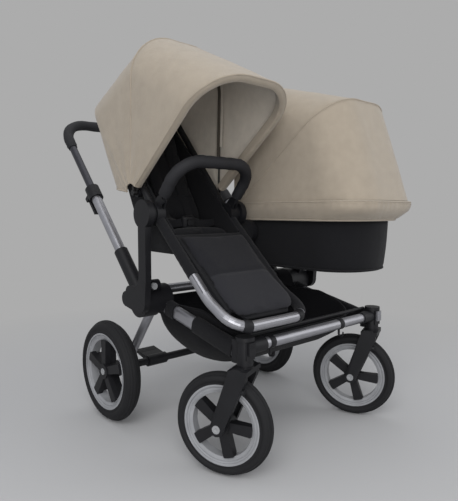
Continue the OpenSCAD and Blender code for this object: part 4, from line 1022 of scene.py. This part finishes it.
def basket_ring(k, t):
    """Outline of the bag at share k of its depth, set in by t; its rim falls towards the front."""
    fall_y, front_z = HUB_Y - 160.0, BEAM_FRONT_Z + 16.0
    half_l = (BASKET_REAR - BASKET_FRONT) / 2
    x = BASKET_HALF_W - t - 8 * k - 46 * k ** 5
    y0 = BASKET_FRONT + t + 12 * k + 50 * k ** 5
    y1 = BASKET_REAR - t - 60 * k ** 2 - 60 * k ** 5
    ring = []
    for px, py in round_outline(-x, x, y0, y1, 70.0):
        rim = mix(BASKET_RIM, front_z, max(0.0, (fall_y - py) / (fall_y - BASKET_FRONT)) ** 1.3)
        floor = BASKET_LOW + t + 40.0 * ((py - BASKET_MIDDLE) / half_l) ** 2
        p = Vector((px, py, mix(rim, floor, k)))
        sag = 5.0 * sin(pi * k) * (ripple(p, 0.016) - 0.3)
        ring.append(p - Vector((px, py - BASKET_MIDDLE, 0)).normalized() * sag)
    return ring


def stadium(l, w):
    """Flat oval as (along, across) pairs."""
    half = [((l - w) / 2 + w / 2 * cos(a), w / 2 * sin(a))
            for a in (radians(180 * i / OVAL_STEPS - 90) for i in range(OVAL_STEPS + 1))]
    return half + [(-x, -y) for x, y in half]


def beam_sleeve(build, x, y0, y1):
    """Wrinkled cloth sleeve round a side beam, drawn in at its ends."""
    slope = atan2(BEAM_REAR_Z - BEAM_FRONT_Z, HUB_Y - CASTER_Y)
    count = max(4, round((y1 - y0) / 12))
    rows = []
    stations = [(i / count, SLEEVE_T) for i in range(count + 1)]
    for k, wall in [(0, SLEEVE_END_T), *stations, (1, SLEEVE_END_T)]:
        y = mix(y0, y1, k)
        centre = Vector((x, y, beam_z(y)))
        up = Vector((0, -sin(slope), cos(slope)))
        row = []
        for a, b in stadium(BEAM_H + 2 * wall, BEAM_W + 2 * wall):
            p = centre + up * a + Vector((b, 0, 0))
            row.append(p + (p - centre).normalized() * (1.2 * ripple(p, 0.05) if wall > 1 else 0.0))
        rows.append(row)
    build.grid(rows, closed=True)


def make_basket():
    """Cloth bag with its bound rim, the sleeves and the straps between them."""
    outer = [basket_ring(k, 0.0) for k in reversed(BASKET_DEPTHS)]
    inner = [basket_ring(k, CLOTH_T) for k in BASKET_DEPTHS]
    build = loft(outer + inner, 0, BASKET_MIDDLE - 30, BASKET_LOW - 8, CLOTH_T)
    build.tube([p + Vector((0, 0, 1.0)) for p in basket_ring(0, 1.5)], 3.4, sides=8, closed=True)
    for side in (-1, 1):
        x = side * CASTER_X
        beam_sleeve(build, x, HUB_Y - 80, HUB_Y - 46)
        beam_sleeve(build, x, CASTER_Y + 35, HUB_Y - 165)
        for y in (HUB_Y - 65, HUB_Y - 221):
            start = Vector((side * (BASKET_HALF_W - 3), y, beam_z(y) - 4))
            end = Vector((side * (CASTER_X - BEAM_W / 2 - 3.5), y, beam_z(y) - 2))
            build.ribbon([start.lerp(end, k / 4) for k in range(5)], (0, 0, 1), 20.0, 2.5)
    obj = build.piece("basket_cloth", [black_cloth], "chassis", "black_fabric", "basket", sharp=50)


make_basket()


# Grip and bumper covers, tube sleeves and couplings
SEAM_RIDGE_R = 1.1


def leaned(points, x, y, z, angle):
    """Puts (x, distance) points on a plane that rises from a place at an angle."""
    a = radians(angle)
    return [Vector((x + px, y + d * cos(a), z + d * sin(a))) for px, d in points]


def make_cover(name, path, radius, body, *replaced):
    """Padded cover round a bar: soft swells, a drawn-in end on each leg and a raised seam inside the bend."""
    def swell(k):
        return radius * (1.0 if min(k, 1 - k) > 0.02 else 0.86) + 0.5 * sin(k * 90)
    build = Build().tube(path, swell, sides=22)
    centre = sum(path, Vector()) / len(path)
    seam = []
    for i, p in enumerate(path[2:-2]):
        t = (path[i + 3] - path[i + 1]).normalized()
        inward = centre - p
        inward -= t * inward.dot(t)
        seam.append(p + inward.normalized() * (radius + 0.3))
    build.tube(seam, SEAM_RIDGE_R, sides=6)
    obj = build.piece(name, [grip_foam], body, "grip_cover", *replaced, sharp=60)


make_cover("grip_cover", leaned(bow(*GRIP_BAR), *GRIP_PLACE), GRIP_R, "handle", "grip")
make_cover("bumper_cover", leaned(bow(*BUMPER_BAR), *BUMPER_PLACE), BUMPER_R, "bumper")


def make_leg_sleeves():
    """Cloth sleeves on the side tubes, and the moulded couplings where the foot bar begins."""
    for side, name in ((-1, "right"), (1, "left")):
        path = resample(leg_points(side), 6.0)
        off = [abs(p.x - SEAT_X) for p in path]
        sleeve = [p for p, x in zip(path, off) if (p.z > SLEEVE_END_Z if side < 0 else x > COUPLING_OUT)]
        build = Build().tube(sleeve, lambda k: LEG_TUBE_D / 2 + 1.3 + 0.35 * sin(k * 60), sides=18)
        obj = build.piece(f"{name}_leg_sleeve", [black_cloth], "seat", "black_fabric", sharp=50)
        bend = [p for p, x in zip(path, off) if COUPLING_IN < x <= COUPLING_OUT]
        build = Build().tube(bend, lambda k: LEG_TUBE_D / 2 + (2.8 if 0.15 < k < 0.85 else 1.5), sides=20)
        build.piece(f"{name}_coupling", [plastic], "seat", "black_plastic")


make_leg_sleeves()

# Clips on the front cross tube
CLIPS = ((-187.0, "right"), (100.0, "left"))
HOOK_R = 7.0


def make_hooks():
    """Moulded clips round the front cross tube, each with a small hook below it."""
    r = CROSS_D / 2
    for x, name in CLIPS:
        band = [(x + k, CASTER_Y, FRONT_TUBE_Z) for k in (-9.0, -7.0, 0.0, 7.0, 9.0)]
        build = Build().tube(band, lambda k: r + (1.9 if 0.1 < k < 0.9 else 0.9), sides=28)
        low = FRONT_TUBE_Z - r
        turn = [(x, CASTER_Y - HOOK_R + HOOK_R * cos(a), low - 13.0 - HOOK_R * sin(a))
                for a in (pi * i / 10 for i in range(11))]
        path = [(x, CASTER_Y, low + 3.0), (x, CASTER_Y, low - 6.0), *turn, (x, CASTER_Y - 14.5, low - 7.0)]
        build.tube(path, lambda k: mix(3.4, 2.2, k), sides=14)
        build.piece(f"{name}_clip", [plastic], "chassis", "black_plastic")


make_hooks()


# Second materials on parts of the solid model's own surfaces
DARK_FRAME_Z = 585.0


def repaint(node, material, inside):
    """Gives a material to the faces whose middle is inside."""
    mesh = nodes[node].data
    mesh.materials.append(material)
    slot_index = len(mesh.materials) - 1
    for face in mesh.polygons:
        if inside(face.center):
            face.material_index = slot_index


repaint("seat_frame", plastic, lambda c: c.z > DARK_FRAME_Z * MM)
repaint("front_cross_tubes", plastic, lambda c: c.y > (CASTER_Y + 15) * MM)
for dark_node in ("rear_axle", "right_swivel_lock", "buckle_button"):
    repaint(dark_node, plastic, lambda c: True)

# Floor, backdrop and light
BACKDROP = srgb(172, 172, 172)
FLOOR = srgb(182, 182, 183)
GLOW_NEAR, GLOW_FAR = 0.7, 1.8
FLOOR_NEAR, FLOOR_FAR, FLOOR_HALF_W = -6.0, 3.0, 7.0
CURVE_R, WALL_TOP = 1.5, 6.0


def backdrop():
    """Floor that curves up behind the pram, in one plain grey that keeps the pram's shadow."""
    profile = [(FLOOR_NEAR, 0.0), (FLOOR_FAR, 0.0)]
    profile += [(FLOOR_FAR + CURVE_R * sin(a), CURVE_R - CURVE_R * cos(a))
                for a in (radians(d) for d in range(10, 91, 10))]
    profile.append((FLOOR_FAR + CURVE_R, WALL_TOP))
    points = [(x, y, z) for y, z in profile for x in (-FLOOR_HALF_W, FLOOR_HALF_W)]
    mesh = bpy.data.meshes.new("backdrop")
    mesh.from_pydata(points, [], [(k, k + 1, k + 3, k + 2) for k in range(0, len(points) - 2, 2)])
    mesh.shade_smooth()
    obj = new_object("backdrop", mesh)
    obj.rotation_euler.z = radians(-42)
    n = Nodes("backdrop", Roughness=0.9)
    n.base(n.noise(2.0), 0.2, 0.8, FLOOR, 0.995, 1.005)
    glow = n.add("ShaderNodeEmission", Color=BACKDROP, Strength=1.0)
    mixed = n.add("ShaderNodeMixShader")
    ray = n.add("ShaderNodeLightPath").outputs
    mirrored = n.math("MAXIMUM", ray["Is Glossy Ray"], ray["Is Transmission Ray"])
    seen = n.math("MAXIMUM", ray["Is Camera Ray"], mirrored)
    far = n.add("ShaderNodeVectorMath")
    far.operation = "LENGTH"
    n.link(n.coords, far.inputs[0])
    share = n.add("ShaderNodeMapRange", From_Min=GLOW_NEAR, From_Max=GLOW_FAR)
    n.link(far.outputs["Value"], share.inputs["Value"])
    n.link(n.math("MULTIPLY", seen, share.outputs["Result"]), mixed.inputs["Fac"])
    n.link(n.shader.outputs["BSDF"], mixed.inputs[1])
    n.link(glow.outputs["Emission"], mixed.inputs[2])
    n.link(mixed.outputs["Shader"], n.tree.nodes["Material Output"].inputs["Surface"])
    mesh.materials.append(n.material)


def lamp(name, place, target, size, power):
    """Square soft lamp that points at a target."""
    data = bpy.data.lights.new(name, "AREA")
    data.size = size
    data.energy = power
    obj = new_object(name, data)
    obj.location = place
    obj.rotation_euler = (Vector(target) - Vector(place)).to_track_quat("-Z", "Y").to_euler()


backdrop()
lamp("key", (-2.6, -2.2, 3.2), (0.0, 0.0, 0.5), 2.4, 70)
lamp("fill", (2.4, -2.8, 2.0), (0.0, 0.0, 0.5), 3.0, 30)
lamp("top", (0.3, 0.6, 3.6), (0.0, 0.0, 0.5), 3.0, 23)
lamp("front", (-1.7, -2.0, 0.9), (-0.1, 0.0, 0.7), 1.6, 22)

world = bpy.data.worlds.new("studio")
world.use_nodes = True
sky = world.node_tree.nodes["Background"].inputs
sky["Color"].default_value = (0.9, 0.92, 0.95, 1.0)
sky["Strength"].default_value = 0.55
scene.world = world
scene.view_settings.view_transform = "Standard"

# Camera, solved from the photograph
camera_data = bpy.data.cameras.new("camera")
camera_data.lens = 35.56
camera_data.sensor_width = 36.0
camera = new_object("camera", camera_data)
camera.location = (-1.069, -1.248, 0.640)
camera.rotation_mode = "QUATERNION"
camera.rotation_quaternion = Vector((0.6706, 0.7375, -0.0798)).to_track_quat("-Z", "Y")
scene.camera = camera
